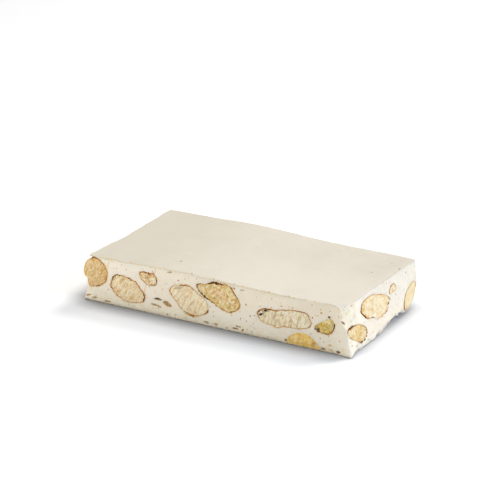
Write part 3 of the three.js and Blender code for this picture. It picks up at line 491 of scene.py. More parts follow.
def brow(x, y):
    """How far the upper front edge wanders up and down, and its right corner is worn down."""
    worn = ease(1 - np.hypot(x - 54.2, y + 28.75) / 4.2)
    return 0.34 * noise(plane3(x, 3.0), 6.5, 74) * ease((y + 21.0) / -6.0) * (1 - worn) - 1.7 * worn


def swell(p):
    """Broad unevenness of the cut faces, shared by the nougat and the nuts in it."""
    return 0.16 * noise(p, 15, 1) + 0.09 * noise(p, 6.5, 2) + ease((-50.0 - p[..., 0]) / 2.0) * ease((27.0 - np.abs(p[..., 1])) / 3.0) * left_wave(p[..., 1])


# ------------------------------------------------------------------ nougat: the four cut faces as one closed band
STEP = dict(front=0.30, right=0.30, back=0.42, left=0.42)
H_LO, H_HI = 0.30, THICK - 0.30

cols_face, cols_s = [], []
for f in FACES:
    k = int(round(SPAN[f] / STEP[f]))
    cols_face += [f] * k
    cols_s += list(np.arange(k) / k * SPAN[f])
cols_face, cols_s = np.array(cols_face), np.array(cols_s)
edge_rows = np.array([0.0, 0.05, 0.14, 0.28, 0.46, 0.7])
mid_rows = np.linspace(H_LO + 0.98, H_HI - 0.98, 56)
rows_h = np.concatenate([H_LO + edge_rows, mid_rows, (H_HI - edge_rows)[::-1]])
NR, NC = len(rows_h), len(cols_s)
S = np.broadcast_to(cols_s, (NR, NC)).copy()
H = np.broadcast_to(rows_h[:, None], (NR, NC)).copy()

base = np.zeros((NR, NC, 3))
for f in FACES:
    m = cols_face == f
    base[:, m] = face_point(f, S[:, m], H[:, m], whole=False)
# on the right end the broken corner has drawn the grid in, so s is measured again from where the points lie
m = cols_face == "right"
_lo, _hi = face_point("right", np.zeros((NR, 1)), H[:, :1]), face_point("right", np.full((NR, 1), SPAN["right"]), H[:, :1])
S[:, m] = (base[:, m, 1] - _lo[..., 1]) / (_hi[..., 1] - _lo[..., 1]) * SPAN["right"]

# the knife leaves its corners a little soft
corner = np.zeros(NC)
for f in FACES:
    m = cols_face == f
    corner[m] = np.minimum(cols_s[m], SPAN[f] - cols_s[m])
near = ((cols_face == "front") & (cols_s > SPAN["front"] / 2)) | ((cols_face == "right") & (cols_s < SPAN["right"] / 2))
for it in range(14):
    reach = 0.85 if it < 8 else 0.5
    wgt = 0.5 * (np.clip(1 - corner / reach, 0, 1) * (~near | (it < 2)))[None, :, None]
    avg = 0.5 * (np.roll(base, 1, 1) + np.roll(base, -1, 1))
    base = base * (1 - wgt) + avg * wgt

# and the near one is torn: it wanders sideways in little steps
torn = np.exp(-(corner / 0.8) ** 2)[None, :] * near[None, :]
at = plane3(1.0, 2.0, H)
step = noise(at, 2.2, 58)
base[..., 0] += torn * (0.14 * noise(at, 3.1, 56) + 0.10 * np.sign(step) * np.abs(step) ** 0.5 + 0.16 * noise(at, 0.8, 57))
base[..., 1] += torn * (0.12 * noise(at, 2.4, 59) + 0.12 * noise(at, 0.7, 60))

base[..., 2] += brow(base[..., 0], base[..., 1]) * ease((H - 13.0) / 5.0)

# the right end's lower edge is broken away in places: s, how high, and s, how far out a lump stands
FOOT_LIFT = ((0, 2.5, 4.2, 5.2, 6.6, 19.5, 21.0, 22.3, 23.2, 40.2, 41.2, 44.0, 50.0, 56.3), (0, .3, .95, .95, 0, 0, .85, .9, 0, 0, 1.35, 1.5, 1.3, 1.2))
FOOT_OUT = ((6.5, 8.0, 9.5, 23.0, 24.2, 26.0, 34.5, 37.0, 39.6, 41.0), (0, .35, 0, 0, .4, 0, 0, .8, .3, 0))
m = cols_face == "right"
lift = np.interp(cols_s[m], *FOOT_LIFT) + 0.25 * np.clip(noise(plane3(cols_s[m], 4.0), 1.5, 75), 0, 1)
base[:, m, 2] += lift * np.clip(1 - H[:, m] / 3.2, 0, 1)
base[:, m, 0] += np.interp(cols_s[m], *FOOT_OUT) * np.clip(1 - H[:, m] / 1.6, 0, 1)
m = cols_face == "back"
base[:, m, 2] += 1.2 * ease(1 - cols_s[m] / 9.0) * np.clip(1 - H[:, m] / 3.2, 0, 1)

du = np.roll(base, -1, 1) - np.roll(base, 1, 1)
dv = np.gradient(base, axis=0)
norm = np.cross(du, dv)
norm /= np.linalg.norm(norm, axis=-1, keepdims=True)

is_face = {f: (cols_face == f)[None, :] for f in FACES}
rough = np.where(is_face["right"], 1.0, np.where(is_face["left"], 0.8, 0.25)) * np.ones((NR, 1))
knife = np.where(is_face["front"], 1.0, np.where(is_face["back"], 1.0, 0.35)) * np.ones((NR, 1))

disp = swell(base)
disp += 0.030 * noise(base, 2.4, 3) + 0.016 * noise(base, 1.1, 4)
# a torn, curdy cut on the ends, worst low down and beside the nuts
curd = np.clip(0.55 + 0.9 * noise(base, 9, 5), 0, 1.2)
disp += rough * curd * (0.085 * noise(base, 1.9, 6) + 0.05 * noise(base, 0.95, 7))
disp += (is_face["right"] * np.exp(-(corner / 3.0) ** 2)[None, :]) * near[None, :] * (0.10 * noise(base, 1.4, 61) + 0.06 * noise(base, 0.7, 62))
# fine slanted drag marks of the knife
across = S - 0.32 * H
mark = noise(plane3(across, H * 0.05, 3.0), 1.1, 8) * 0.6 + noise(plane3(across, H * 0.04, 9.0), 0.55, 9) * 0.4
where = np.clip(0.35 + 1.2 * noise(base, 11, 10), 0, 1)
disp += knife * where * 0.034 * mark
# a few longer steps where the blade stuck
for (f, s0, tall, deep) in (("front", 48.5, 6, .07), ("front", 70.5, 5, .06), ("front", 76.4, 9, .05), ("front", 97.5, 4, .05), ("front", 22, 7, .05),
                            ("right", 16.5, 5, .08), ("right", 43.5, 9, .06), ("back", 18, 8, .07), ("back", 55, 7, .06), ("back", 88, 9, .06), ("left", 20, 7, .07), ("left", 49, 6, .06)):
    d = across - s0 - 0.5 * noise(plane3(0, H, s0), 6, 21)
    k = is_face[f] * np.exp(-((H - tall) / 5.0) ** 2)
    disp -= k * deep * np.where(d > 0, np.exp(-d / 1.4), np.exp(d / 0.12))

# and the far one swells a little at half height
far = np.where(is_face["right"], SPAN["right"] - S, np.where(is_face["back"], S, 99.0))
disp += 0.40 * np.exp(-(far / 1.6) ** 2) * np.exp(-((H - 10.0) / 4.0) ** 2)

# the chip at the near upper corner is a fresh, curdy break
broken = is_face["right"] * near[None, :] * ease((CHIP_REACH * SPAN["right"] * 1.15 - S) / 3.0) * ease((H - 1.0) / 6.0)
disp += broken * (0.13 * noise(base, 1.5, 63) + 0.08 * noise(base, 0.7, 64))

pit_tint_and_shade = np.zeros((NR, NC))     # how dark a hollow or crack is: its amber colour and painted shade
stain = np.zeros((NR, NC))   # amber tint next to skins
lip = np.zeros((NR, NC))

# hollows: face, s, h, half length, half width, turn, depth, darkness (amber colour and painted shade)
PITS = [
    ("front", 31.3, 6.4, 1.75, .42, -4, 1.3, 1.0), ("front", 35.4, 5.3, 2.3, .85, -23, .75, .55), ("front", 30.8, 3.7, 2.7, .45, -10, .5, .45),
    ("front", 67.8, 16.9, 1.35, .30, 8, .35, .35), ("front", 35.8, 17.3, 1.15, .3, 2, .4, .5), ("right", 0.55, 12.3, .85, .32, -52, .45, .9),
    ("front", 101.2, 14.4, .5, .3, -8, .3, .6), ("front", 1.2, 1.9, 1.35, .42, 22, .7, .6), ("front", 4.4, 1.4, 1.3, .5, 2, .6, .35),
    ("front", 10.1, 1.0, 1.5, .32, 2, .5, .45), ("front", 35.6, 1.1, .32, .4, 80, .5, .5), ("front", 39.2, 1.6, .7, .3, -12, .4, .35), ("front", 51.9, 1.35, 1.2, .4, -3, .6, .5),
    ("front", 56.0, 1.35, .8, .45, -37, .6, .5), ("front", 60.4, .9, .5, .25, 10, .4, .4), ("front", 63.9, 1.45, 1.3, .42, 7, .7, .65),
    ("front", 65.3, 2.5, 1.2, .24, -5, .4, .9), ("front", 66.9, 1.4, .62, .3, 51, .6, .8), ("front", 84.5, 1.25, .55, .42, -47, .8, 1.0),
    ("front", 99.4, 1.0, 1.0, .36, -3, .6, .6), ("front", 102.6, 1.2, .9, .25, 3, .4, .35), ("front", 105.4, 1.0, .85, .38, -3, .7, .9),
    ("front", 12.4, 15.2, .5, .22, 12, .25, .3), ("front", 24.5, 2.4, .8, .24, -6, .3, .3), ("front", 72.0, 3.2, .5, .25, -10, .3, .3),
    ("right", 37.2, 1.9, 1.3, 1.3, 10, 1.6, .1), ("right", 43.4, 0.9, 1.6, 1.0, -6, 1.2, .1), ("right", 24.0, 0.8, 1.5, .7, 6, .9, .1), ("right", 8.3, 0.7, .9, .6, 0, .7, .1), ("right", 24.5, 0.8, 1.6, .4, 4, .6, .15), ("right", 32.6, 1.2, 1.6, .5, 6, .6, .1),
    ("right", 14.6, 1.4, .9, .4, 8, .5, .2), ("right", 6.0, 2.2, .8, .4, -10, .4, .2), ("right", 14.7, 15.7, .7, .3, 20, .3, .1), ("right", 44.8, 10.0, .6, .25, 30, .3, .1),
    ("back", 18, 12.6, 1.5, .4, 8, .8, .8), ("back", 41.5, 4.6, 1.9, .6, -15, .7, .5), ("back", 74, 14.8, 1.2, .35, 5, .6, .6), ("back", 89, 3.2, 2.2, .45, 6, .8, .7),
    ("back", 56, 7.4, .8, .3, 20, .5, .5), ("back", 5.2, 3.4, .9, .4, 10, .5, .4), ("back", 105, 13, .7, .3, -20, .4, .5),
    ("left", 20, 13.8, 1.3, .4, -10, .7, .6), ("left", 35, 8.8, .9, .35, 12, .5, .4), ("left", 16, 3.2, 1.6, .4, 6, .6, .5), ("left", 52.5, 3.0, 1.2, .5, -6, .6, .3), ("left", 47.5, 14.5, .6, .3, 20, .4, .4),
]
# thin stains that run from the skins into the nougat, and pale drag marks: face, from, to, half width, strength
STREAKS = [
    ("front", 8.5, 17.0, 7.8, 14.9, 0.28, 0.5), ("front", 8.9, 17.7, 10.9, 16.9, 0.12, 0.5), ("front", 29.7, 17.9, 29.3, 16.2, 0.15, 0.9), ("front", 25.8, 10.9, 25.3, 7.4, 0.15, 0.9),
    ("front", 25.1, 7.1, 26.2, 6.5, 0.13, 0.6), ("front", 2.0, 5.6, 2.4, 4.3, 0.2, 0.4), ("front", 5.0, 6.2, 5.6, 4.8, 0.2, 0.35), ("front", 3.6, 18.0, 8.9, 17.8, 0.16, 0.45),
    ("front", 20.6, 13.7, 22.0, 11.9, 0.14, 0.3), ("front", 48.7, 11.6, 51.2, 11.1, 0.15, 0.95), ("front", 51.2, 11.1, 52.1, 9.9, 0.13, 0.8), ("front", 49.9, 10.5, 50.8, 9.5, 0.11, 0.5),
    ("front", 43.1, 3.0, 45.3, 2.8, 0.3, 0.6), ("front", 61.1, 17.7, 61.5, 17.2, 0.25, 0.7), ("front", 64.1, 17.0, 64.6, 16.7, 0.25, 0.9), ("front", 38.2, 14.0, 39.0, 13.6, 0.22, 0.5),
    ("front", 97.0, 14.0, 98.7, 16.7, 0.16, -0.9), ("front", 95.9, 12.9, 97.5, 15.2, 0.15, -0.7), ("front", 87.4, 5.1, 88.5, 7.2, 0.14, -0.7), ("front", 71.7, 2.8, 72.8, 4.9, 0.14, -0.7),
    ("front", 76.7, 2.5, 77.9, 4.9, 0.12, -0.6), ("front", 93.9, 17.6, 93.0, 15.6, 0.16, -0.6), ("front", 99.9, 7.4, 98.0, 5.1, 0.14, -0.7), ("front", 105.0, 6.4, 106.6, 8.8, 0.14, -0.7),
    ("front", 12.2, 9.5, 13.4, 12.6, 0.13, -0.5), ("front", 31.5, 8.5, 32.6, 11.2, 0.13, -0.5), ("front", 57.0, 4.0, 58.2, 6.8, 0.13, -0.5), ("front", 65.5, 4.5, 66.8, 7.2, 0.14, -0.6),
    ("front", 102.1, 3.1, 103.5, 3.0, 0.22, 0.5), ("front", 98.3, 0.7, 99.9, 0.7, 0.25, 0.6), ("front", 101.7, 1.1, 103.2, 0.8, 0.35, 0.5), ("right", 1.0, 5.2, 2.9, 5.2, 0.27, 0.4),
    ("right", 15.4, 3.0, 19.0, 3.1, 0.22, 0.35), ("right", 15.0, 8.9, 17.8, 7.6, 0.22, 0.4), ("right", 28.9, 18.3, 30.2, 17.1, 0.16, 0.35), ("right", 3.7, 18.3, 5.8, 18.2, 0.14, 0.3),
    ("back", 20.5, 14.5, 21.2, 12.2, 0.15, 0.8), ("back", 41.0, 11.8, 42.1, 10.5, 0.14, 0.7), ("back", 73.0, 6.5, 73.6, 3.9, 0.16, 0.6), ("back", 90.0, 15.5, 88.9, 13.8, 0.14, 0.8),
    ("back", 54.0, 3.0, 55.0, 5.4, 0.14, -0.7), ("back", 30.0, 9.5, 31.2, 12.0, 0.14, -0.7), ("back", 70.5, 10.2, 71.6, 12.6, 0.14, -0.7), ("back", 5.5, 14.2, 6.6, 16.4, 0.14, -0.6),
    ("left", 18.0, 14.5, 19.0, 12.8, 0.15, 0.7), ("left", 35.0, 5.5, 36.2, 4.6, 0.14, 0.6), ("left", 47.0, 9.0, 48.2, 11.6, 0.14, -0.7), ("left", 5.0, 4.0, 6.2, 6.2, 0.14, -0.6),
]
# the chipped corner is paler: a fresh white break, lightened further as painted light where it turns from the lamps
pale = 0.55 * broken * np.clip(0.6 + 0.8 * noise(base, 1.6, 65), 0, 1)
# painted light on the front: lighter low down, over its left third, and low in the middle
pale += is_face["front"] * ease((8.0 - H) / 6.0) * (0.45 * ease((S - 34.0) / 8.0) + 0.15 * ease((S - 84.0) / 14.0))
pale += is_face["front"] * 0.40 * ease((36.0 - S) / 12.0)
pale += is_face["front"] * 0.40 * ease((10.5 - H) / 5.0) * ease((S - 46.0) / 8.0) * ease((86.0 - S) / 12.0)
# painted light low on the right end, by the near corner and under the lifted lump
pale += is_face["right"] * (0.5 * ease((16.0 - S) / 6.0) * ease((8.0 - H) / 4.0) + 0.9 * ease((S - 36.0) / 5.0) * ease((4.0 - H) / 3.0))
# yellowish curd by the chipped corner, lightened there as painted light, and painted light low along the front
chalk_and_painted_light = is_face["right"] * near[None, :] * ease((9.0 - S) / 5.0) * ease((H - 8.0) / 5.0)
chalk_and_painted_light += 1.1 * is_face["front"] * ease((5.0 - H) / 3.4)
# olive is painted shade: the upper right of the front is darker
olive = is_face["front"] * ease((S - 84.0) / 18.0) * ease((H - 7.0) / 8.0) * np.ones((NR, 1))
# painted shade: the right end is darker away from its near corner and higher up
right_end_painted_shade = is_face["right"] * ease((S - 7.0) / 14.0) * ease((H - 4.0) / 6.0) * np.ones((NR, 1))
for (f, s0, h0, s1, h1, half, strength) in STREAKS:
    m = np.where(cols_face == f)[0]
    m = m[np.abs(cols_s[m] - (s0 + s1) / 2) < abs(s1 - s0) / 2 + 4]
    run = np.array([s1 - s0, h1 - h0])
    size = np.hypot(*run)
    run = run / size
    x, y = S[:, m] - s0, H[:, m] - h0
    wander = 0.16 * noise(plane3(x, y, s0), 1.1, 33)
    p, o = x * run[0] + y * run[1], -x * run[1] + y * run[0] + wander
    near = ease((1.3 - np.sqrt((o / half) ** 2 + (np.maximum(np.abs(p - size / 2) - size / 2, 0) / half) ** 2)) / 0.8)
    if strength > 0:
        stain[:, m] = np.maximum(stain[:, m], strength * near)
    else:
        pale[:, m] = np.maximum(pale[:, m], -strength * near)
        disp[:, m] -= 0.03 * near
# smooth pale lump low on the front, and a few like it elsewhere
for (f, s0, h0, a, b) in (("front", 39.7, 1.5, 2.9, 1.15), ("back", 71, 1.6, 2.4, 0.9), ("left", 30, 1.4, 2.0, 0.8), ("right", 19, 1.6, 2.4, 0.9)):
    m = cols_face == f
    rho = np.sqrt(((S[:, m] - s0) / a) ** 2 + ((H[:, m] - h0) / b) ** 2) * (1 + 0.15 * noise(plane3(S[:, m], H[:, m], 1.0), 1.2, 34))
    pale[:, m] = np.maximum(pale[:, m], ease((1.15 - rho) / 0.3))
    disp[:, m] += 0.10 * ease((1.1 - rho) / 0.5)

rng = np.random.default_rng(20)
for f, count in (("front", 46), ("right", 34), ("back", 46), ("left", 26)):
    for _ in range(count):
        s0 = rng.uniform(2, SPAN[f] - 2)
        h0 = rng.uniform(0.8, 17.4) if rng.random() < 0.55 else rng.uniform(0.7, 3.0)
        a = rng.uniform(0.22, 0.75)
        PITS.append((f, s0, h0, a, a * rng.uniform(0.35, 0.6), rng.uniform(-25, 25), rng.uniform(0.08, 0.3), rng.uniform(0.0, 0.35)))


def in_nut(f, s, h, margin=0.0):
    for n, d in NUTS.items():
        if d["at"][0] == f:
            r, phi = polar(n, s, h)
            if r < rim(n, np.array([phi]), fine=False)[0] + margin:
                return True
    return False


for (f, s0, h0, a, b, turn, deep, dark) in PITS:
    if in_nut(f, s0, h0, 0.3 if a < 0.76 else -0.2):
        continue
    m = np.where(cols_face == f)[0]
    m = m[(np.abs(S[:, m] - s0) < 2.2 * a + 1).any(0)]
    if not len(m):
        continue
    x, y = S[:, m] - s0, H[:, m] - h0
    c, sn = math.cos(math.radians(turn)), math.sin(math.radians(turn))
    p, q = x * c + y * sn, -x * sn + y * c
    bend = q - 0.12 * b * np.cos(p / a * 2.2 + s0) - 0.25 * b * noise(plane3(p, q, s0), 0.9, 31)
    rho = np.sqrt((p / a) ** 2 + (bend / b) ** 2)
    rho = rho * (1 + 0.16 * noise(plane3(p, q, s0 + 5), 0.7, 32))
    bowl = np.clip(1 - rho ** 2, 0, 1) ** 0.6
    disp[:, m] -= deep * bowl
    disp[:, m] += 0.04 * min(1, deep / 0.4) * np.exp(-((rho - 1.25) / 0.22) ** 2)
    pit_tint_and_shade[:, m] = np.maximum(pit_tint_and_shade[:, m], dark * np.clip(bowl * 1.5, 0, 1))

# the nuts' pockets: the nougat turns in just inside each nut's rim
pocket_any = np.zeros((NR, NC), bool)
for n, d in NUTS.items():
    f, s0, h0, a, b, *_r = d["at"]
    deep = d["at"][9]
    m = np.where(cols_face == f)[0]
    m = m[(np.abs(S[:, m] - s0) < max(a, b) + 4).any(0)]
    r, phi = polar(n, S[:, m], H[:, m])
    R = rim(n, phi)
    gap = table_at(d.get("gap"), np.degrees(phi), 0.0) * (0.75 + 0.5 * noise(plane3(np.cos(phi) * 3, np.sin(phi) * 3, d["seed"]), 0.5, 41))
    out = r - R
    # nougat pulled up against the nut in places, and let down in others
    pull = noise(plane3(S[:, m], H[:, m], d["seed"]), 1.6, 42)
    disp[:, m] += np.exp(-np.clip(out, 0, 9) / 0.45) * (0.045 * pull)
    disp[:, m] -= np.clip(gap, 0, 1) * 0.9 * np.exp(-np.clip(out - 0.08, 0, 9) / 0.16)
    # open cracks beside the nuts get painted shade
    pit_tint_and_shade[:, m] = np.maximum(pit_tint_and_shade[:, m], np.clip(gap, 0, 1) * np.exp(-np.clip(out - 0.1, 0, 9) / 0.2))
    here = np.clip(table_at(d.get("skin"), np.degrees(phi), .25) / .3, 0.0, 1)
    patchy = np.clip(0.45 + 1.3 * noise(plane3(S[:, m], H[:, m], 5.0), 0.9, 43), 0, 1)
    stain[:, m] = np.maximum(stain[:, m], ease(1.15 - np.clip(out, 0, 9) / (0.22 + 0.34 * patchy)) * (0.35 + 0.65 * patchy) * here)
    inside = out < -0.22
    hollow = deep * np.sqrt(np.clip(1 - (r / np.maximum(R - 0.22, 0.1)) ** 2, 0, 1)) + 0.35
    disp[:, m] = np.where(inside, np.minimum(disp[:, m], -hollow), disp[:, m])
    pocket_any[:, m] |= inside

# the nut at the broken corner is open to the back face too
m = np.where((cols_face == "back") & (cols_s < 12))[0]
_f, _s0, _h0 = NUTS["almond_r3"]["at"][:3]
_lo = face_point("right", np.zeros((NR, len(m))), H[:, m])
_hi = face_point("right", np.full((NR, len(m)), SPAN["right"]), H[:, m])
_s = (base[:, m, 1] - _lo[..., 1]) / (_hi[..., 1] - _lo[..., 1]) * SPAN["right"]
_in = face_point("right", _s, H[:, m])[..., 0] - base[:, m, 0]
r, phi = polar("almond_r3", _s, H[:, m])
k = (r / (rim("almond_r3", phi) - 0.25)) ** 2 + (np.maximum(_in, 0) / (NUTS["almond_r3"]["at"][9] - 0.3)) ** 2
disp[:, m] = np.where(k < 1, np.minimum(disp[:, m], -0.4 - 2.0 * np.sqrt(np.clip(1 - k, 0, 1))), disp[:, m])
pocket_any[:, m] |= k < 1

# soft upper edge, ragged lower edge
top_d, low_d = H_HI - H, H - H_LO
worn = np.where(is_face["right"], 0.45, np.where(is_face["left"], 0.6, 0.25)) * np.ones((NR, 1))
disp -= 0.07 * np.clip(1 - top_d / 0.35, 0, 1) ** 2 * (1 + 0.8 * noise(base, 2.5, 51))
disp -= worn * 0.30 * np.clip(1 - top_d / 1.3, 0, 1) ** 2 * (1 + 0.6 * noise(base, 3.5, 55))
disp -= 0.12 * np.clip(1 - low_d / 0.35, 0, 1) ** 2
# the lower edge was pressed out over the wafer in a thin uneven ridge, with bites missing from it
press = np.clip(0.4 + 0.9 * noise(plane3(base[..., 0], base[..., 1], 2.0), 5.0, 52), 0, 1)
disp += (0.22 * press) * np.exp(-((low_d - 0.25) / 0.35) ** 2)
bite_n = noise(plane3(base[..., 0] , base[..., 1], 7.0), 1.7, 53) + 0.5 * noise(plane3(base[..., 0], base[..., 1], 8.0), 0.8, 54)
bite_h = 0.45 + 0.9 * np.clip(bite_n, 0, 1)
bite = np.clip((bite_n - 0.18) / 0.35, 0, 1) * np.clip(1 - low_d / bite_h, 0, 1) ** 0.7
side_bite = np.where(is_face["front"], 0.45, np.where(is_face["right"], 0.9, 0.7)) * np.ones((NR, 1))
disp -= np.where(pocket_any, 0, bite * side_bite)

verts_band = base + norm * disp[..., None]
SURF = verts_band.copy()
SURF_N = norm.copy()


def surface_at(f, s, h):
    """Where the finished nougat surface lies for a face position, and the direction out of it."""
    m = np.where(cols_face == f)[0]
    j = m[int(np.clip(round(s / SPAN[f] * len(m)), 0, len(m) - 1))]
    i = int(np.argmin(np.abs(rows_h - h)))
    return SURF[i, j], SURF_N[i, j]


quads = grid_quads(NR, NC, wrap=True)
verts = verts_band.reshape(-1, 3)
low_loop, top_loop = verts_band[0], verts_band[-1]
tri_low, src_low, inner_low = cap_tris(low_loop[:, :2], 5.0, up=False)
tri_top, src_top, inner_top = cap_tris(top_loop[:, :2], 5.0, up=True)


def top_height(x, y):
    """Height of the bar's top over a point in plan."""
    xx = x + CENTRE[0]
    return THICK + HUMP[2] * bell(xx, HUMP) + SAG[2] * bell(xx, SAG) + brow(x, y)


first_low = len(verts)
under = 0.35 + 1.3 * ease((inner_low[:, 0] - 43.0) / 5.0) * ease((inner_low[:, 1] - 6.0) / 4.0)
verts = np.vstack([verts, np.column_stack([inner_low, under])])
first_top = len(verts)
verts = np.vstack([verts, np.column_stack([inner_top, top_height(inner_top[:, 0], inner_top[:, 1]) - 0.35])])
id_low = np.concatenate([np.arange(NC), first_low + np.arange(len(inner_low))])
id_top = np.concatenate([(NR - 1) * NC + np.arange(NC), first_top + np.arange(len(inner_top))])
tris = np.vstack([id_low[src_low[tri_low]], id_top[src_top[tri_top]]])
nougat = make_mesh("nougat_body", verts, quads, tris)
pad = len(verts) - NR * NC
attr(nougat, "pit_tint_and_shade", np.concatenate([pit_tint_and_shade.ravel(), np.zeros(pad)]))
attr(nougat, "stain", np.concatenate([stain.ravel(), np.zeros(pad)]))
attr(nougat, "pale", np.concatenate([pale.ravel(), np.zeros(pad)]))
attr(nougat, "olive", np.concatenate([olive.ravel(), np.zeros(pad)]))
attr(nougat, "right_end_painted_shade", np.concatenate([right_end_painted_shade.ravel(), np.zeros(pad)]))
attr(nougat, "chalk_and_painted_light", np.concatenate([chalk_and_painted_light.ravel(), np.zeros(pad)]))
attr(nougat, "curd", np.concatenate([(rough * np.clip(curd, 0, 1)).ravel(), np.zeros(pad)]))
across_v = np.concatenate([np.stack([across, H, np.zeros_like(H)], -1).reshape(-1, 3), np.zeros((pad, 3))])
attr(nougat, "cut", across_v, "FLOAT_VECTOR")


# ------------------------------------------------------------------ wafers
def wafer_sheet(name, top, step, seed):
    nu, nv = int(106 / step), int(57 / step)

    def fine_ends(n):
        t = np.arange(n + 1) / n
        ends = np.array([0.0015, 0.004])
        return np.sort(np.concatenate([t, ends, 1 - ends]))

    u, v = fine_ends(nu), fine_ends(nv)
    U, V = np.meshgrid(u, v, indexing="ij")
    w = 1.0 if top else 0.0
    P = bar_point(U, V, np.full_like(U, w), chipped=0.6)
    ex, ey = np.minimum(U, 1 - U) * 106, np.minimum(V, 1 - V) * 57
    edge = np.minimum(ex, ey)
    # a cut edge that isn't quite straight, with little nicks and burrs
    wob = 0.10 * noise(P, 4.0, seed) + 0.07 * noise(P, 1.1, seed + 1) + 0.04 * noise(P, 0.5, seed + 2)
    nick = np.clip(noise(P, 1.6, seed + 3) - 0.42, 0, 1) * 1.3
    shift = (wob - nick - 0.03) * np.clip(1 - edge / 0.9, 0, 1)
    sx = np.where(U < 0.5, -1, 1) * (ex <= ey + 0.8)
    sy = np.where(V < 0.5, -1, 1) * (ey <= ex + 0.8)
    P[..., 0] += shift * sx
    P[..., 1] += shift * sy
    if top:
        P[..., 0] -= left_wave(P[..., 1]) * ease(1 - ex / 3.0) * (U < 0.5) * ease((27.0 - np.abs(P[..., 1])) / 3.0)
        # its near left corner stands out over the nut under it
        P[..., 0] -= 1.4 * np.clip(1 - (P[..., 1] + 29.4) / 20.0, 0, 1) * ease((0.07 - U) / 0.07)
    # the corners are a little blunt
    cd = np.hypot(ex, ey)
    pull = (np.where((U > 0.5) ^ (V < 0.5), 0.35, 0.12) if top else 0.35) * np.clip(1 - cd / 1.2, 0, 1)
    P[..., 0] -= np.where(U < 0.5, -1, 1) * pull
    P[..., 1] -= np.where(V < 0.5, -1, 1) * pull
    flat = plane3(P[..., 0], P[..., 1], 0.0)
    if top:
        turn = math.radians(-5)
        rib = P[..., 0] * math.sin(-turn) + P[..., 1] * math.cos(turn)
        z = P[..., 2] + 0.15 * noise(flat, 17, seed + 4) + 0.08 * noise(flat, 7, seed + 5) + 0.026 * noise(flat, 2.6, seed + 6)
        z += 0.045 * noise(plane3(P[..., 0] * 0.22, P[..., 1], 4.0), 1.9, seed + 13) * np.clip(0.4 + noise(flat, 16, seed + 14), 0, 1)
        z += 0.030 * np.cos(2 * np.pi * rib / 2.8) * np.clip(0.6 + 0.8 * noise(flat, 20, seed + 8), 0, 1)
        z += brow(P[..., 0], P[..., 1])
        z -= 0.13 * np.clip(1 - edge / 0.6, 0, 1) ** 2 + 0.05 * np.clip(1 - edge / 3, 0, 1) ** 2
        z_hi, z_lo = z - 0.02, z - 0.44
    else:
        P[..., 0] -= ease((U - 0.88) / 0.12) * (0.8 + 5.0 * ease((V - 0.64) / 0.09))
        z_lo = 0.02 * np.clip(1 - edge / 0.5, 0, 1) ** 2 + 0.0 * P[..., 2]
        z_hi = 0.40 + 0.03 * noise(flat, 3, seed + 7)
    A, B = U.shape
    ids = np.arange(A * B).reshape(A, B)
    ring = np.concatenate([ids[:-1, 0], ids[-1, :-1], ids[:0:-1, -1], ids[0, :0:-1]])
    upper, lower = P.copy(), P.copy()
    upper[..., 2], lower[..., 2] = z_hi, z_lo
    n = A * B
    R = len(ring)
    up_ring, low_ring = upper.reshape(-1, 3)[ring], lower.reshape(-1, 3)[ring]
    mids = []
    out = ring_normals(up_ring)
    for t in (0.3, 0.62):
        q = up_ring * (1 - t) + low_ring * t
        q = q + out * (0.05 + 0.05 * noise(q, 0.6, seed + 9))[:, None]
        mids.append(q)
    verts = np.vstack([upper.reshape(-1, 3), lower.reshape(-1, 3)] + mids)
    q_up = grid_quads(A, B)
    q_low = (grid_quads(A, B) + n)[:, ::-1]
    levels = [ring, 2 * n + np.arange(R), 2 * n + R + np.arange(R), n + ring]
    walls = []
    for a, b in zip(levels[:-1], levels[1:]):
        a2, b2 = np.roll(a, -1), np.roll(b, -1)
        walls.append(np.stack([a, b, b2, a2], -1))
    ob = make_mesh(name, verts, np.vstack([q_up, q_low] + walls))
    e = np.concatenate([np.clip(1 - edge / 0.35, 0, 1).ravel(), np.clip(1 - edge / 0.35, 0, 1).ravel(), np.ones(2 * R)])
    plain = (np.maximum(0, (1 - U) * 106) < 1.2) & top
    plain = np.concatenate([plain.ravel(), plain.ravel(), plain.ravel()[ring], plain.ravel()[ring]])
    e = np.where(plain, 0.3 * e, e)
    # painted shadow: a dark line round the lower wafer's bottom edge, where the bar meets the floor
    foot_shadow_rim = np.clip(1 - edge / 0.3, 0, 1).ravel() * (not top)
    attr(ob, "painted_foot_shadow", np.concatenate([0 * foot_shadow_rim, foot_shadow_rim, 0.0 * np.ones(R), 0.75 * (not top) * np.ones(R)]))
    attr(ob, "edge", e)
    # painted light and shade on the upper wafer: lighter over the front middle and right, darker over the left and the
    # far right corner, with some random mottling; the worn near corner nearly white, partly worn and partly painted
    # light
    painted_light_top = ease((U - 0.30) / 0.35) * ease((0.75 - V) / 0.55) + 0.25 * noise(flat, 14, seed + 11)
    worn_corner_and_painted_light = ease(1 - np.hypot(P[..., 0] - 54.2, P[..., 1] + 28.75) / 4.0)
    painted_shade_top = np.maximum(ease((0.45 - U) / 0.35), 0.8 * ease((U - 0.78) / 0.2) * ease((V - 0.45) / 0.4)) + 0.25 * noise(flat, 12, seed + 12)
    for label, value in (("painted_light_top", painted_light_top), ("painted_shade_top", painted_shade_top), ("worn_corner_and_painted_light", worn_corner_and_painted_light)):
        value = np.clip(value, 0, 1).ravel() * top
        attr(ob, label, np.concatenate([value, value, value[ring], value[ring]]))
    return ob


def ring_normals(p):
    t = np.roll(p, -1, 0) - np.roll(p, 1, 0)
    n = np.stack([t[:, 1], -t[:, 0], np.zeros(len(t))], -1)
    return n / np.maximum(np.linalg.norm(n, axis=1, keepdims=True), 1e-9)


wafer_top = wafer_sheet("wafer_upper", True, 0.42, 201)
wafer_bottom = wafer_sheet("wafer_lower", False, 0.62, 231)


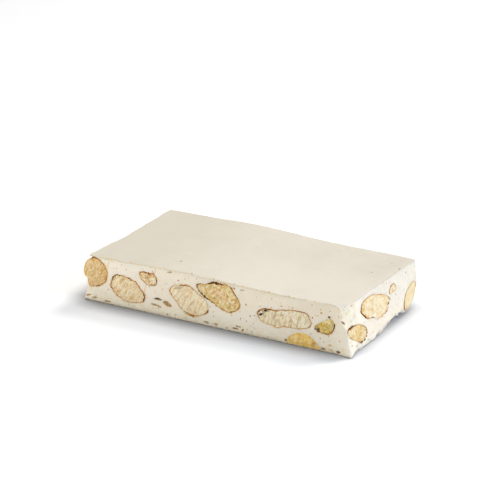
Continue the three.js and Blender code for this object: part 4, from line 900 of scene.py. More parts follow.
# ------------------------------------------------------------------ nuts
def back_face_y(x, z):
    """y of the bar's back face over a place along it and a height."""
    w = np.clip(z / THICK, 0, 1)
    left, right = bar_point(0, 1, w)[..., 0], bar_point(1, 1, w)[..., 0]
    return bar_point(np.clip((x - left) / (right - left), 0, 1), 1, w)[..., 1]


def painted(name, x, y):
    """Colour of the cut flesh: the nut's own tone with its broad shades and marks."""
    d = NUTS[name]
    seed = d["seed"]
    q = plane3(x, y, seed * 1.9)
    tone = np.array(d["tone"])
    col = np.ones(x.shape + (3,)) * tone * 1.03
    broad = fbm(q, 4.5, seed + 11, 2)[..., None]
    shade = fbm(q, 2.6, seed + 12, 2)[..., None]
    col = col * (1 + broad * np.array([0.05, 0.10, 0.22]) + shade * np.array([0.07, 0.09, 0.10]))
    marks = MARKS.get(name)
    if marks is None:      # a hidden nut gets marks like the others' at random
        r = np.random.default_rng(seed)
        a, b, turn = d["at"][3], d["at"][4], math.radians(d["at"][5])
        marks = []
        for _ in range(int(5 + a * b / 5)):
            p, o = r.uniform(0, 0.85), r.uniform(0, 2 * np.pi)
            mx, my = a * p * math.cos(o), b * p * math.sin(o)
            pick = r.integers(0, 5)
            colour = (tone * (0.85, 0.72, 0.55), tone * (0.93, 0.84, 0.72), np.minimum(tone * (1.07, 1.14, 1.3), 0.95), tone * (0.8, 0.74, 0.45), tone * (0.72, 0.52, 0.28))[pick]
            size = (r.uniform(0.8, 2.0), r.uniform(0.15, 0.4)) if pick != 4 else (r.uniform(0.3, 0.5), r.uniform(0.25, 0.4))
            marks.append((mx * math.cos(turn) - my * math.sin(turn), mx * math.sin(turn) + my * math.cos(turn), *size, d["grain"] + r.uniform(-9, 9), colour, r.uniform(0.4, 0.7)))
    for (mx, my, a, b, turn, colour, strength) in marks:
        c, sn = math.cos(math.radians(turn)), math.sin(math.radians(turn))
        p, o = (x - mx) * c + (y - my) * sn, -(x - mx) * sn + (y - my) * c
        rho = np.sqrt((p / a) ** 2 + (o / b) ** 2) * (1 + 0.22 * noise(plane3(x, y, mx + 3), 0.7, seed + 13))
        k = (strength * ease((1.25 - rho) / 0.6))[..., None]
        col = col * (1 - k) + np.array(TINTS[colour] if isinstance(colour, str) else colour) * k
    return np.clip(col, 0.01, 0.97)


def make_nut(name):
    d = NUTS[name]
    face, s0, h0, a, b, turn, sq, c3, s3, deep = d["at"]
    seed = d["seed"]
    size = math.sqrt(a * b)
    seen = face in ("front", "right")
    NA = int(np.clip(2 * math.pi * size / (0.22 if seen else 0.32), 56, 150))
    NI = int(np.clip(size / (0.19 if seen else 0.28), 12, 36))
    phi = np.arange(NA) / NA * 2 * np.pi
    R = rim(name, phi)
    deg = np.degrees(phi)
    skin = table_at(d.get("skin"), deg, 0.25)
    burn = table_at([(r[0], r[2] if len(r) > 2 else min(1.0, max(0.2, (r[1] - 0.2) / 0.3))) for r in d.get("skin", ())], deg, 0.4)
    # rings over the cut face, closer together towards the rim
    t = np.linspace(0, 1, NI + 1)[1:]
    rho = 1 - (1 - t) ** 1.25
    rho = rho / rho[-1]
    body = [(0.995, 0.10), (0.99, 0.3), (0.975, 0.7), (0.93, 1.5), (0.85, 2.4), (0.72, 0.72), (0.52, 0.87), (0.28, 0.97)]
    P, rimd, depth = [], [], []
    centre = face_point(face, np.array([s0]), np.array([h0]))
    cn = face_normal(face, np.array([s0]), np.array([h0]))

    def clamp_h(h):
        return np.clip(h, 0.42, THICK - 0.42)

    def lift(x, y, rr, dist):
        """How far the cut face stands out of the bar's face."""
        g = math.radians(d["grain"])
        al, ac = x * math.cos(g) + y * math.sin(g), -x * math.sin(g) + y * math.cos(g)
        e = 0.06 + 0.04 * noise(plane3(x, y, seed), 5.0, seed + 1)
        e = e + d["streak"] * 0.035 * noise(plane3(al * 0.22, ac, seed), 0.75, seed + 2)
        e = e + d["streak"] * 0.020 * noise(plane3(al * 0.3, ac, seed + 4), 0.38, seed + 3)
        e = e + d["blotch"] * (0.040 * noise(plane3(x, y, seed), 1.0, seed + 4) + 0.022 * noise(plane3(x, y, seed), 0.5, seed + 5))
        e = e - 0.10 * np.clip(1 - dist / 0.12, 0, 1) ** 2          # edge of the cut turns down to the skin
        return e

    for k in rho:
        rr = R * k
        x, y = rr * np.cos(phi), rr * np.sin(phi)
        dist = R - rr
        hh = clamp_h(h0 + y)
        p = face_point(face, s0 + x, hh)
        nn = face_normal(face, s0 + x, hh)
        e = lift(x, y, rr, dist)
        # the skin itself stands up as a beaded edge
        bead = np.clip(noise(plane3(np.cos(phi) * size, np.sin(phi) * size, seed), 0.45, seed + 6), -0.5, 1)
        e = e + np.where(dist < skin * 1.1, np.clip(skin / 0.3, 0, 1.5) * (0.05 + 0.05 * bead), 0) * (k < 0.9999)
        # and a little of the flesh is low where the skin has gone
        P.append(p + nn * (e + swell(p))[:, None])
        rimd.append(dist)
        depth.append(np.zeros(NA))
    for k, dd in body:
        q = dd if dd > 1 or k > 0.97 else dd * deep
        q = min(q, deep * 0.985) if k > 0.8 else q
        kk = math.sqrt(max(0.0, 1 - (q / deep) ** 2)) if k < 0.99 else k
        rr = R * kk
        x, y = rr * np.cos(phi), rr * np.sin(phi)
        hh = clamp_h(h0 + y)
        p = face_point(face, s0 + x, hh)
        nn = face_normal(face, s0 + x, hh)
        P.append(p + nn * (swell(p) - q)[:, None])
        rimd.append(np.zeros(NA))
        depth.append(np.full(NA, q))
    rings = len(P)
    first = rings * NA
    e0 = lift(np.zeros(1), np.zeros(1), 0, R.mean())
    if name == "almond_r3":
        for i in range(rings):
            room = back_face_y(P[i][:, 0], P[i][:, 2]) + 0.04 - P[i][:, 1]
            out = room < 0
            P[i][out, 1] += room[out]
            rimd[i] = np.where(out, np.maximum(rimd[i], -room * 0.8), rimd[i])
            depth[i] = np.where(out, 0.0, depth[i])
    verts = np.vstack(P + [centre + cn * (e0 + swell(centre))[:, None], centre - cn * deep])
    quads = grid_quads(rings, NA, wrap=True)
    quads = quads[:, ::-1]
    j = np.arange(NA)
    j2 = (j + 1) % NA
    tri_c = np.stack([j, j2, np.full(NA, first)], -1)
    tri_b = np.stack([(rings - 1) * NA + j2, (rings - 1) * NA + j, np.full(NA, first + 1)], -1)
    ob = make_mesh(name + "_cut", verts, quads, np.vstack([tri_c, tri_b]))
    rimd = np.concatenate(rimd + [[R.mean()], [0]])
    depth = np.concatenate(depth + [[0], [deep]])
    sk = np.concatenate([np.tile(skin, rings), [0.0], [0.25]])
    g = math.radians(d["grain"])
    xs = np.concatenate([(R * k) * np.cos(phi) for k in rho] + [(R * k) * np.cos(phi) for k, _ in body] + [[0], [0]])
    ys = np.concatenate([(R * k) * np.sin(phi) for k in rho] + [(R * k) * np.sin(phi) for k, _ in body] + [[0], [0]])
    al, ac = xs * math.cos(g) + ys * math.sin(g), -xs * math.sin(g) + ys * math.cos(g)
    attr(ob, "rim", rimd)
    attr(ob, "deep", depth)
    attr(ob, "skin", sk)
    attr(ob, "burn", np.concatenate([np.tile(burn, rings), [0.4, 0.4]]))
    attr(ob, "fibre", np.stack([al, ac, depth + seed * 1.37], -1), "FLOAT_VECTOR")
    tone = painted(name, xs, ys)
    attr(ob, "tone", np.column_stack([tone, np.ones(len(tone))]), "FLOAT_COLOR")
    look = np.tile(np.array([d["streak"], d["blotch"], d["gold"]]), (len(verts), 1))
    attr(ob, "look", look, "FLOAT_VECTOR")
    attr(ob, "cast", np.tile(np.array([d.get("grey", 0.0), d.get("green", 0.0), 0.0]), (len(verts), 1)), "FLOAT_VECTOR")
    return ob


nut_objects = {n: make_nut(n) for n in NUTS}


# ------------------------------------------------------------------ specks of skin and nut in the cut faces
def blob_mesh(name, blobs):
    """Many small lumps as one mesh. blobs: centre, normal, radii (along, across, out), turn, shade, seed."""
    # a small ball: 5 rings of 8
    th = np.linspace(0, np.pi, 7)[1:-1]
    ph = np.arange(8) / 8 * 2 * np.pi
    ball = np.array([[np.sin(t) * np.cos(p), np.sin(t) * np.sin(p), np.cos(t)] for t in th for p in ph] + [[0, 0, 1], [0, 0, -1]])
    q = grid_quads(5, 8, wrap=True)
    j = np.arange(8)
    j2 = (j + 1) % 8
    caps = np.vstack([np.stack([j2, j, np.full(8, 40)], -1), np.stack([32 + j, 32 + j2, np.full(8, 41)], -1)])
    q = q[:, ::-1]
    caps = caps[:, ::-1]
    V, Q, T, C = [], [], [], []
    for i, (c, n, r, turn, shade, seed) in enumerate(blobs):
        n = np.asarray(n, float)
        side = np.cross([0, 0, 1.0], n)
        side = side / np.linalg.norm(side) if np.linalg.norm(side) > 0.2 else np.array([1.0, 0, 0])
        upv = np.cross(n, side)
        a = side * math.cos(turn) + upv * math.sin(turn)
        b = np.cross(n, a)
        k = 1 + 0.28 * noise(ball * 1.0 + seed * 3.1, 0.9, 61)
        p = ball * k[:, None] * np.array(r)
        V.append(np.asarray(c) + p[:, :1] * a + p[:, 1:2] * b + p[:, 2:] * n)
        Q.append(q + 42 * i)
        T.append(caps + 42 * i)
        C.append(np.tile(np.array([*shade, 1.0]), (42, 1)))
    ob = make_mesh(name, np.vstack(V), np.vstack(Q), np.vstack(T))
    attr(ob, "shade", np.vstack(C), "FLOAT_COLOR")
    return ob


SHADES = dict(k=(.05, .025, .012), d=(.16, .065, .018), r=(.56, .25, .05), o=(.80, .45, .10), g=(.52, .31, .09), y=(.90, .70, .33))
SPECKS = [
    ("front", 39.9, 15.2, .27, "r"), ("front", 43.0, 16.1, .19, "o"), ("front", 33.4, 10.7, .18, "r"), ("front", 69.1, 11.7, .32, "g"),
    ("front", 64.4, 16.8, .28, "r"), ("front", 66.6, 5.9, .24, "o"), ("front", 63.0, 6.5, .24, "o"), ("front", 80.0, 12.6, .22, "o"),
    ("front", 84.6, 13.9, .24, "o"), ("front", 80.7, 16.2, .22, "o"), ("front", 89.4, 14.3, .24, "g"), ("front", 71.7, 5.1, .19, "o"),
    ("front", 70.7, 7.6, .24, "g"), ("front", 72.5, 8.1, .17, "d"), ("front", 68.8, 5.2, .19, "d"), ("front", 55.2, 6.3, .22, "o"),
    ("front", 55.2, 4.5, .22, "o"), ("front", 54.0, 7.9, .19, "g"), ("front", 68.9, 2.1, .19, "o"), ("front", 101.4, 15.9, .24, "o"),
    ("front", 99.4, 13.2, .22, "o"), ("front", 97.2, 12.1, .24, "d"), ("front", 98.6, 13.2, .17, "g"), ("front", 104.2, 13.4, .40, "d"),
    ("front", 99.0, 4.8, .22, "r"), ("front", 102.5, 6.2, .19, "o"), ("front", 102.4, 2.9, .3, "o"), ("front", 100.2, 3.5, .19, "g"),
    ("front", 106.8, 5.2, .21, "g"), ("front", 108.4, 14.5, .19, "g"), ("front", 87.5, 5.1, .19, "o"), ("front", 105.1, 15.7, .19, "g"),
    ("front", 16.6, 15.5, .19, "g"), ("front", 34.9, 13.1, .17, "o"), ("front", 29.9, 9.5, .17, "o"), ("front", 27.2, 10.9, .2, "d"),
    ("front", 9.6, 5.9, .24, "o"), ("front", 25.9, 7.1, .26, "o"), ("front", 66.4, 8.5, .19, "o"), ("front", 14.0, 17.0, .2, "y"),
    ("front", 77.9, 18.1, 0.26, "o"), ("front", 95.4, 18.1, 0.27, "o"), ("front", 64.6, 18.1, 0.22, "r"), ("front", 82.5, 18.1, 0.18, "y"), ("front", 88.4, 18.1, 0.18, "o"), ("front", 89.9, 18.1, 0.16, "y"), ("front", 105.8, 18.0, 0.20, "y"), ("front", 98.8, 18.1, 0.16, "o"), ("front", 73.3, 18.1, 0.17, "y"), ("front", 71.5, 18.1, 0.15, "o"), ("front", 111.3, 18.1, 0.25, "y"), ("front", 111.9, 18.1, 0.20, "o"),
    ("right", 31.5, 17.2, .24, "o"), ("right", 5.6, 17.1, .24, "o"), ("right", 38.1, 10.7, .28, "r"), ("right", 39.5, 6.4, .19, "y"),
    ("right", 34.9, 4.2, .19, "o"), ("right", 2.2, 3.6, .3, "o"), ("right", 5.9, 1.8, .28, "r"), ("right", 54.8, 16.0, .21, "o"),
    ("right", 56.0, 13.2, .19, "r"), ("right", 12.3, 9.0, .22, "y"), ("right", 4.1, 12.1, .22, "y"), ("right", 6.6, 13.1, .22, "y"),
    ("right", 2.1, 15.8, .22, "y"), ("right", 19.3, 3.0, .19, "y"), ("right", 1.9, 17.1, .19, "o"), ("right", 13.4, 17.5, .2, "y"),
]
rng = np.random.default_rng(5)
for f, count in (("front", 12), ("right", 10), ("back", 52), ("left", 30)):
    for _ in range(count):
        for _try in range(20):
            s0, h0 = rng.uniform(1.5, SPAN[f] - 1.5), rng.uniform(1.0, 17.6)
            if not in_nut(f, s0, h0, 0.35):
                break
        SPECKS.append((f, s0, h0, float(rng.uniform(0.09, 0.2)), str(rng.choice(list("ooygrd"), p=[.36, .26, .22, .06, .08, .02]))))
blobs = []
for (f, s0, h0, r, k) in SPECKS:
    p, n = surface_at(f, s0, h0)
    st = rng.uniform(1.0, 1.7)
    shade = np.array(SHADES[k]) * rng.uniform(0.85, 1.15)
    blobs.append((p - n * r * 0.10, n, (r * 1.15 * st, r * 1.15 / st ** 0.5, r * 0.34), rng.uniform(0, np.pi), shade, len(blobs)))
# bits of skin left along the rims of some nuts: nut, degrees, distance out from the rim, radius, shade
for (n, deg, off, r, k) in (("almond_f4", -82, .3, .34, "o"), ("almond_f4", -88, .5, .28, "o"), ("almond_f4", -75, .25, .30, "r"), ("almond_f4", -95, .25, .34, "y"),
                            ("almond_f4", -104, .3, .32, "y"), ("almond_f4", -70, .5, .2, "o"), ("almond_f4", -112, .35, .22, "y"),
                            ("almond_f5", 116, .0, .34, "d"), ("almond_f5", 122, .0, .3, "d"), ("almond_f5", 129, .05, .28, "r"), ("almond_f5", 98, .1, .2, "r"), ("almond_f5", 75, .35, .28, "o"),
                            ("almond_f5", 68, .2, .2, "o"), ("almond_f5", 214, .1, .26, "d"), ("almond_f5", 222, .05, .22, "d"), ("almond_f5", 234, .1, .26, "d"), ("almond_f5", 192, .2, .26, "r"),
                            ("almond_f2", -12, .2, .26, "r"), ("almond_f2", -4, .6, .2, "o"), ("almond_f2", 184, .1, .24, "r"), ("almond_f2", 192, .35, .2, "o"), ("almond_f2", 150, .0, .22, "d"),
                            ("almond_f3", 60, .5, .2, "o"), ("almond_f3", 66, 1.0, .16, "o"), ("almond_f3", 160, .1, .25, "d"), ("almond_f3", 250, .15, .18, "r"), ("almond_f3", 100, .05, .24, "r"),
                            ("almond_f6", 161, .15, .26, "d"), ("almond_f6", 152, .35, .2, "r"), ("almond_f6", 176, .1, .2, "r"), ("almond_f6", -122, .1, .16, "o"),
                            ("pistachio_f1", 200, .1, .26, "d"), ("pistachio_f1", 212, .12, .22, "d"), ("pistachio_f1", 186, .2, .18, "r"),
                            ("almond_f1", 100, .05, .26, "d"), ("almond_f1", 106, .0, .24, "d"), ("almond_f1", -88, .05, .22, "d"), ("almond_f1", -96, .1, .2, "r"),
                            ("almond_r1", -2, .1, .34, "r"), ("almond_r1", 3, .15, .24, "d"), ("almond_r1", -28, .15, .3, "r"), ("almond_r1", -38, .1, .24, "o"), ("almond_r1", -22, .3, .22, "o"),
                            ("almond_r1", 206, .0, .3, "d"), ("almond_r1", 216, .05, .26, "d"), ("almond_r1", 176, .15, .2, "r"),
                            ("almond_r4", -78, .15, .32, "d"), ("almond_r4", -70, .3, .2, "r"), ("almond_r4", -48, .15, .26, "d"), ("almond_r4", -30, .1, .22, "r"), ("almond_r4", -95, .25, .2, "r"),
                            ("almond_r4", 4, .05, .22, "d"), ("almond_r4", -14, .1, .2, "r"), ("almond_r3", 228, .05, .24, "r"), ("almond_b3", 100, .05, .28, "d"), ("almond_b6", 190, .1, .3, "d"),
                            ("almond_b1", 80, .1, .26, "d"), ("almond_b4", 140, .1, .26, "r"), ("almond_l1", 150, .1, .26, "d"), ("almond_l2", 0, .1, .26, "r"), ("almond_l3", 270, .1, .26, "d")):
    face, s0, h0 = NUTS[n]["at"][:3]
    phi = math.radians(deg)
    R = float(rim(n, np.array([phi]))[0]) + off
    s1, h1 = s0 + R * math.cos(phi), h0 + R * math.sin(phi)
    p = face_point(face, np.array([s1]), np.array([np.clip(h1, .5, 18)]))[0] if off < 0.1 else surface_at(face, s1, np.clip(h1, .5, 18))[0]
    nn = face_normal(face, np.array([s1]), np.array([np.clip(h1, .5, 18)]))[0]
    shade = np.array(SHADES[k]) * rng.uniform(0.85, 1.15)
    blobs.append((p + nn * 0.02, nn, (r * 1.25, r * 0.8, r * 0.55), phi + math.pi / 2 + rng.uniform(-.4, .4), shade, len(blobs)))
# thicker bits of skin beside the nuts: face, s, h, half length, half width, turn, shade
own = np.random.default_rng(77)
for (f, s0, h0, a, b, turn, k) in (("front", 50.3, 12.5, .62, .30, -28, "k"), ("front", 51.6, 11.75, .60, .32, -32, "k"), ("front", 52.7, 11.05, .50, .28, -30, "d"), ("front", 49.2, 13.1, .42, .20, -30, "d"),
                                   ("front", 54.6, 9.95, .45, .16, -30, "r"), ("front", 56.6, 8.9, .40, .16, -24, "r"), ("front", 53.5, 16.45, .50, .24, 32, "d"), ("front", 55.0, 17.0, .60, .28, 8, "k"),
                                   # the two near-black lumps at 75.3 and 77.4 on the front are painted shade in voids
                                   # at the left tip of almond_f6
                                   ("front", 56.5, 17.05, .55, .26, 4, "d"), ("front", 58.3, 17.05, .42, .18, -4, "r"), ("front", 75.3, 9.15, .60, .28, 30, "k"), ("front", 77.4, 11.15, .62, .26, 26, "k"),
                                   ("front", 76.4, 10.55, .30, .20, 30, "r"), ("front", 44.4, 3.55, .42, .26, -8, "o"), ("front", 45.4, 3.0, .52, .30, -30, "r"), ("front", 46.5, 2.6, .48, .26, 6, "r"),
                                   ("front", 47.6, 3.1, .40, .22, 14, "o"), ("front", 43.4, 3.95, .36, .22, 20, "y"), ("front", 46.3, 3.3, .36, .22, 0, "o"), ("front", 48.9, 3.3, .30, .18, 10, "y"),
                                   ("right", 13.2, 5.9, .42, .18, 95, "d"), ("right", 13.5, 4.7, .46, .20, 90, "d"), ("right", 13.2, 3.5, .40, .18, 70, "r"), ("right", 11.7, 2.75, .46, .20, 30, "d"),
                                   ("right", 9.6, 2.75, .50, .22, 5, "d"), ("right", 2.6, 9.6, .50, .18, 40, "d"), ("right", 4.1, 10.0, .60, .20, 10, "d"), ("right", 31.6, 9.7, .46, .24, 85, "r"),
                                   ("right", 29.4, 7.1, .50, .20, 30, "r"), ("right", 26.4, 6.4, .50, .18, 12, "o"), ("front", 106.2, 11.2, .45, .16, 108, "d"), ("front", 105.4, 9.6, .45, .16, 66, "d"),
                                   ("front", 103.8, 7.9, .40, .15, 35, "r"), ("front", 101.8, 7.0, .40, .15, 2, "r")):
    p, nn = face_point(f, np.array([s0]), np.array([h0]))[0], face_normal(f, np.array([s0]), np.array([h0]))[0]
    blobs.append((p + nn * 0.20, nn, (a, b, b * 0.8), math.radians(turn), np.array(SHADES[k]) * own.uniform(0.85, 1.15), len(blobs)))
# a few crumbs on the upper wafer, and along its front edge
TOP_SPECKS = [(.994, .775, .32, "d"), (.992, .705, .26, "r"), (.934, .629, .36, "y"), (.32, .156, .32, "r"), (.95, .84, .18, "o"), (.985, .356, .16, "y"), (.871, .655, .16, "y"),
              (.165, .004, .24, "o"), (.62, .004, .2, "o"), (.585, .005, .22, "o"), (.725, .004, .22, "o"), (.415, .004, .2, "r"), (.505, .004, .2, "r"), (.80, .004, .2, "o"),
              (.30, .003, .18, "o"), (.36, .004, .16, "y"), (.90, .004, .18, "y"), (.10, .004, .2, "y"), (.24, .72, .2, "y"), (.48, .62, .18, "o"), (.71, .41, .16, "y"), (.12, .5, .16, "g")]
for (u, v, r, k) in TOP_SPECKS:
    p = bar_point(u, v, 1.0)
    p = p.reshape(3) + np.array([0, 0, -0.05])
    shade = np.array(SHADES[k])
    blobs.append((p, (0, 0, 1), (r * 1.4, r * 0.8, r * 0.5), rng.uniform(-.5, .5), shade, len(blobs)))
specks = blob_mesh("skin_specks", blobs)


# ------------------------------------------------------------------ materials
def new_material(name):
    m = bpy.data.materials.new(name)
    m.use_nodes = True
    nt = m.node_tree
    nt.nodes.clear()
    return m, nt


class Nodes:
    """Short ways of adding and joining shader nodes."""

    def __init__(self, nt):
        self.nt = nt

    def add(self, kind, **props):
        n = self.nt.nodes.new(kind)
        for k, v in props.items():
            setattr(n, k, v)
        return n

    def link(self, a, b):
        self.nt.links.new(a, b)

    def put(self, socket, value):
        if isinstance(value, bpy.types.NodeSocket):
            self.link(value, socket)
        else:
            socket.default_value = value

    def attribute(self, name, out="Fac"):
        return self.add("ShaderNodeAttribute", attribute_name=name).outputs[out]

    def math(self, op, a, b=0.0, c=0.0, clamp=False):
        n = self.add("ShaderNodeMath", operation=op, use_clamp=clamp)
        self.put(n.inputs[0], a)
        self.put(n.inputs[1], b)
        self.put(n.inputs[2], c)
        return n.outputs[0]

    def mix(self, f, a, b, blend="MIX"):
        n = self.add("ShaderNodeMix", data_type="RGBA", blend_type=blend, clamp_factor=True)
        self.put(n.inputs[0], f)
        self.put(n.inputs[6], a)
        self.put(n.inputs[7], b)
        return n.outputs[2]

    def ramp(self, f, *stops, interp="LINEAR"):
        n = self.add("ShaderNodeValToRGB")
        n.color_ramp.interpolation = interp
        el = n.color_ramp.elements
        while len(el) < len(stops):
            el.new(0.5)
        for e, (p, c) in zip(el, stops):
            e.position = p
            e.color = (*c, 1.0) if len(c) == 3 else c
        self.put(n.inputs[0], f)
        return n.outputs[0]

    def level(self, f, lo, hi, to_lo=0.0, to_hi=1.0):
        n = self.add("ShaderNodeMapRange", interpolation_type="SMOOTHSTEP", clamp=True)
        self.put(n.inputs[0], f)
        self.put(n.inputs[1], lo)
        self.put(n.inputs[2], hi)
        self.put(n.inputs[3], to_lo)
        self.put(n.inputs[4], to_hi)
        return n.outputs[0]

    def coords(self):
        return self.add("ShaderNodeTexCoord").outputs["Object"]

    def scaled(self, vec, s):
        n = self.add("ShaderNodeMapping")
        self.put(n.inputs[0], vec)
        n.inputs["Scale"].default_value = s if hasattr(s, "__len__") else (s, s, s)
        return n.outputs[0]

    def noise(self, vec, scale, detail=2.0, rough=0.5, distort=0.0):
        n = self.add("ShaderNodeTexNoise", noise_dimensions="3D")
        self.put(n.inputs["Vector"], vec)
        n.inputs["Scale"].default_value = scale
        n.inputs["Detail"].default_value = detail
        n.inputs["Roughness"].default_value = rough
        n.inputs["Distortion"].default_value = distort
        return n.outputs[0]

    def cells(self, vec, scale, feature="F1", rand=1.0):
        n = self.add("ShaderNodeTexVoronoi", feature=feature)
        self.put(n.inputs["Vector"], vec)
        n.inputs["Scale"].default_value = scale
        n.inputs["Randomness"].default_value = rand
        return n.outputs["Distance"]

    def bump(self, height, strength, distance, normal=None):
        n = self.add("ShaderNodeBump")
        n.inputs["Strength"].default_value = strength
        n.inputs["Distance"].default_value = distance
        self.put(n.inputs["Height"], height)
        if normal is not None:
            self.put(n.inputs["Normal"], normal)
        return n.outputs[0]

    def surface(self, **values):
        p = self.add("ShaderNodeBsdfPrincipled")
        for k, v in values.items():
            self.put(p.inputs[k.replace("_", " ")], v)
        o = self.add("ShaderNodeOutputMaterial")
        self.link(p.outputs[0], o.inputs[0])
        return p


def nougat_material():
    m, nt = new_material("nougat")
    n = Nodes(nt)
    mm = n.scaled(n.coords(), 1000.0)                      # millimetres
    cloud = n.noise(mm, 0.09, 3, 0.55)
    mottle = n.noise(mm, 0.55, 4, 0.6)
    grain = n.noise(mm, 3.2, 3, 0.6)
    base = n.ramp(cloud, (0.30, (0.870, 0.803, 0.675)), (0.72, (0.910, 0.848, 0.735)))
    base = n.mix(n.level(mottle, 0.40, 0.72, 0.0, 0.55), base, (0.915, 0.878, 0.80, 1))
    base = n.mix(n.level(grain, 0.50, 0.75, 0.0, 0.16), base, (0.80, 0.725, 0.60, 1))
    # faint honey flecks
    fleck = n.cells(mm, 0.75)
    few = n.noise(mm, 0.21, 2, 0.5)
    f = n.math("MULTIPLY", n.level(fleck, 0.13, 0.05), n.level(few, 0.52, 0.62))
    base = n.mix(n.math("MULTIPLY", f, 0.55), base, (0.72, 0.46, 0.20, 1))
    honey = n.noise(mm, 0.75, 3, 0.65)
    base = n.mix(n.level(honey, 0.52, 0.72, 0.0, 0.55), base, (0.875, 0.765, 0.565, 1))
    # paler nougat mixed with painted light, then painted shade on the upper right of the front and on the right end,
    # then yellowish curd with painted light by the chipped corner and low along the front
    base = n.mix(n.math("MULTIPLY", n.attribute("pale"), 0.65), base, (0.935, 0.905, 0.84, 1))
    base = n.mix(n.math("MULTIPLY", n.attribute("olive"), 0.4), base, (0.79, 0.71, 0.55, 1))
    base = n.mix(n.math("MULTIPLY", n.attribute("right_end_painted_shade"), 0.85), base, (0.785, 0.745, 0.66, 1))
    base = n.mix(n.math("MULTIPLY", n.attribute("chalk_and_painted_light"), 0.75), base, n.mix(n.level(n.noise(mm, 0.62, 3, 0.6), 0.48, 0.60), (0.985, 0.925, 0.775, 1), (0.955, 0.845, 0.62, 1)))
    spots = n.cells(mm, 1.05)
    spotty = n.noise(mm, 0.33, 2, 0.5)
    f = n.math("MULTIPLY", n.level(spots, 0.17, 0.08), n.level(spotty, 0.50, 0.56))
    base = n.mix(n.math("MULTIPLY", f, 0.8), base, (0.70, 0.42, 0.17, 1))
    stain = n.attribute("stain")
    base = n.mix(n.level(stain, 0.0, 0.35, 0.0, 0.55), base, (0.84, 0.62, 0.32, 1))
    base = n.mix(n.level(stain, 0.35, 1.0, 0.0, 0.85), base, (0.62, 0.30, 0.09, 1))
    # hollows and cracks: amber colour and painted shade, near black where deepest
    pit_tint_and_shade = n.attribute("pit_tint_and_shade")
    hollow = n.ramp(n.noise(mm, 1.3, 2, 0.5), (0.35, (0.36, 0.18, 0.040)), (0.65, (0.60, 0.40, 0.155)))
    base = n.mix(n.level(pit_tint_and_shade, 0.01, 0.50, 0.0, 0.95), base, hollow)
    base = n.mix(n.level(pit_tint_and_shade, 0.60, 0.92, 0.0, 0.9), base, (0.055, 0.028, 0.012, 1))
    # relief finer than the mesh: sugar grain, pores, knife lines
    cut = n.attribute("cut", "Vector")
    lines = n.noise(n.scaled(cut, (1.0, 0.07, 1.0)), 2.6, 3, 0.6)
    curd = n.attribute("curd")
    pore = n.level(n.cells(mm, 2.4), 0.0, 0.26)
    h1 = n.math("MULTIPLY", grain, n.math("MULTIPLY_ADD", curd, 1.3, 0.55))
    h2 = n.math("MULTIPLY_ADD", lines, 0.55, h1)
    h3 = n.math("MULTIPLY_ADD", pore, n.math("MULTIPLY_ADD", curd, 0.35, 0.22), h2)
    bump = n.bump(h3, 0.45, 0.00012)
    base = n.mix(n.math("MULTIPLY", n.level(lines, 0.52, 0.70), 0.22), base, (0.93, 0.90, 0.83, 1))
    base = n.mix(n.math("MULTIPLY", n.level(lines, 0.48, 0.32), 0.16), base, (0.80, 0.72, 0.59, 1))
    rough = n.level(n.noise(mm, 0.8, 3, 0.5), 0.3, 0.7, 0.46, 0.62)
    n.surface(Base_Color=base, Roughness=rough, Normal=bump, IOR=1.46,
              Subsurface_Weight=0.4, Subsurface_Radius=(2.0, 1.75, 1.4), Subsurface_Scale=0.001, Specular_IOR_Level=0.2)
    return m


def wafer_material():
    m, nt = new_material("wafer")
    n = Nodes(nt)
    mm = n.scaled(n.coords(), 1000.0)
    cloud = n.noise(mm, 0.06, 3, 0.5)
    mottle = n.noise(mm, 0.38, 3, 0.55)
    fibre = n.noise(n.scaled(mm, (1.0, 2.2, 1.0)), 2.2, 4, 0.65)
    base = n.ramp(cloud, (0.30, (0.868, 0.812, 0.705)), (0.70, (0.902, 0.852, 0.755)))
    base = n.mix(n.level(mottle, 0.42, 0.74, 0.0, 0.5), base, (0.915, 0.87, 0.785, 1))
    base = n.mix(n.level(fibre, 0.52, 0.78, 0.0, 0.16), base, (0.83, 0.745, 0.585, 1))
    # painted light and shade across the top, and painted light at the worn near corner
    base = n.mix(n.math("MULTIPLY", n.attribute("painted_light_top"), 0.75), base, (0.985, 0.93, 0.825, 1))
    base = n.mix(n.math("MULTIPLY", n.attribute("painted_shade_top"), 0.75), base, (0.815, 0.765, 0.665, 1))
    base = n.mix(n.attribute("worn_corner_and_painted_light"), base, (1.0, 0.965, 0.88, 1))
    edge = n.attribute("edge")
    toast = n.noise(mm, 0.55, 3, 0.6)
    t = n.math("MULTIPLY", n.level(edge, 0.35, 1.0), n.level(toast, 0.30, 0.62, 0.30, 1.0))
    base = n.mix(n.math("MULTIPLY", t, 0.72), base, (0.87, 0.71, 0.43, 1))
    base = n.mix(n.math("MULTIPLY", n.level(edge, 0.5, 1.0), n.level(n.noise(mm, 0.9, 2, 0.6), 0.60, 0.68, 0.0, 0.8)), base, (0.78, 0.50, 0.17, 1))
    # painted shadow along the lower wafer's bottom edge
    base = n.mix(n.math("MULTIPLY", n.level(n.attribute("painted_foot_shadow"), 0.15, 0.7), n.level(n.noise(mm, 0.5, 3, 0.6), 0.36, 0.56, 0.15, 0.9)), base, (0.15, 0.085, 0.06, 1))
    bump = n.bump(n.math("MULTIPLY_ADD", fibre, 0.8, n.noise(mm, 5.5, 2, 0.5)), 0.35, 0.00008)
    rough = n.level(mottle, 0.3, 0.7, 0.66, 0.8)
    n.surface(Base_Color=base, Roughness=rough, Normal=bump, IOR=1.42,
              Subsurface_Weight=0.3, Subsurface_Radius=(1.8, 1.5, 1.2), Subsurface_Scale=0.001, Specular_IOR_Level=0.18)
    return m


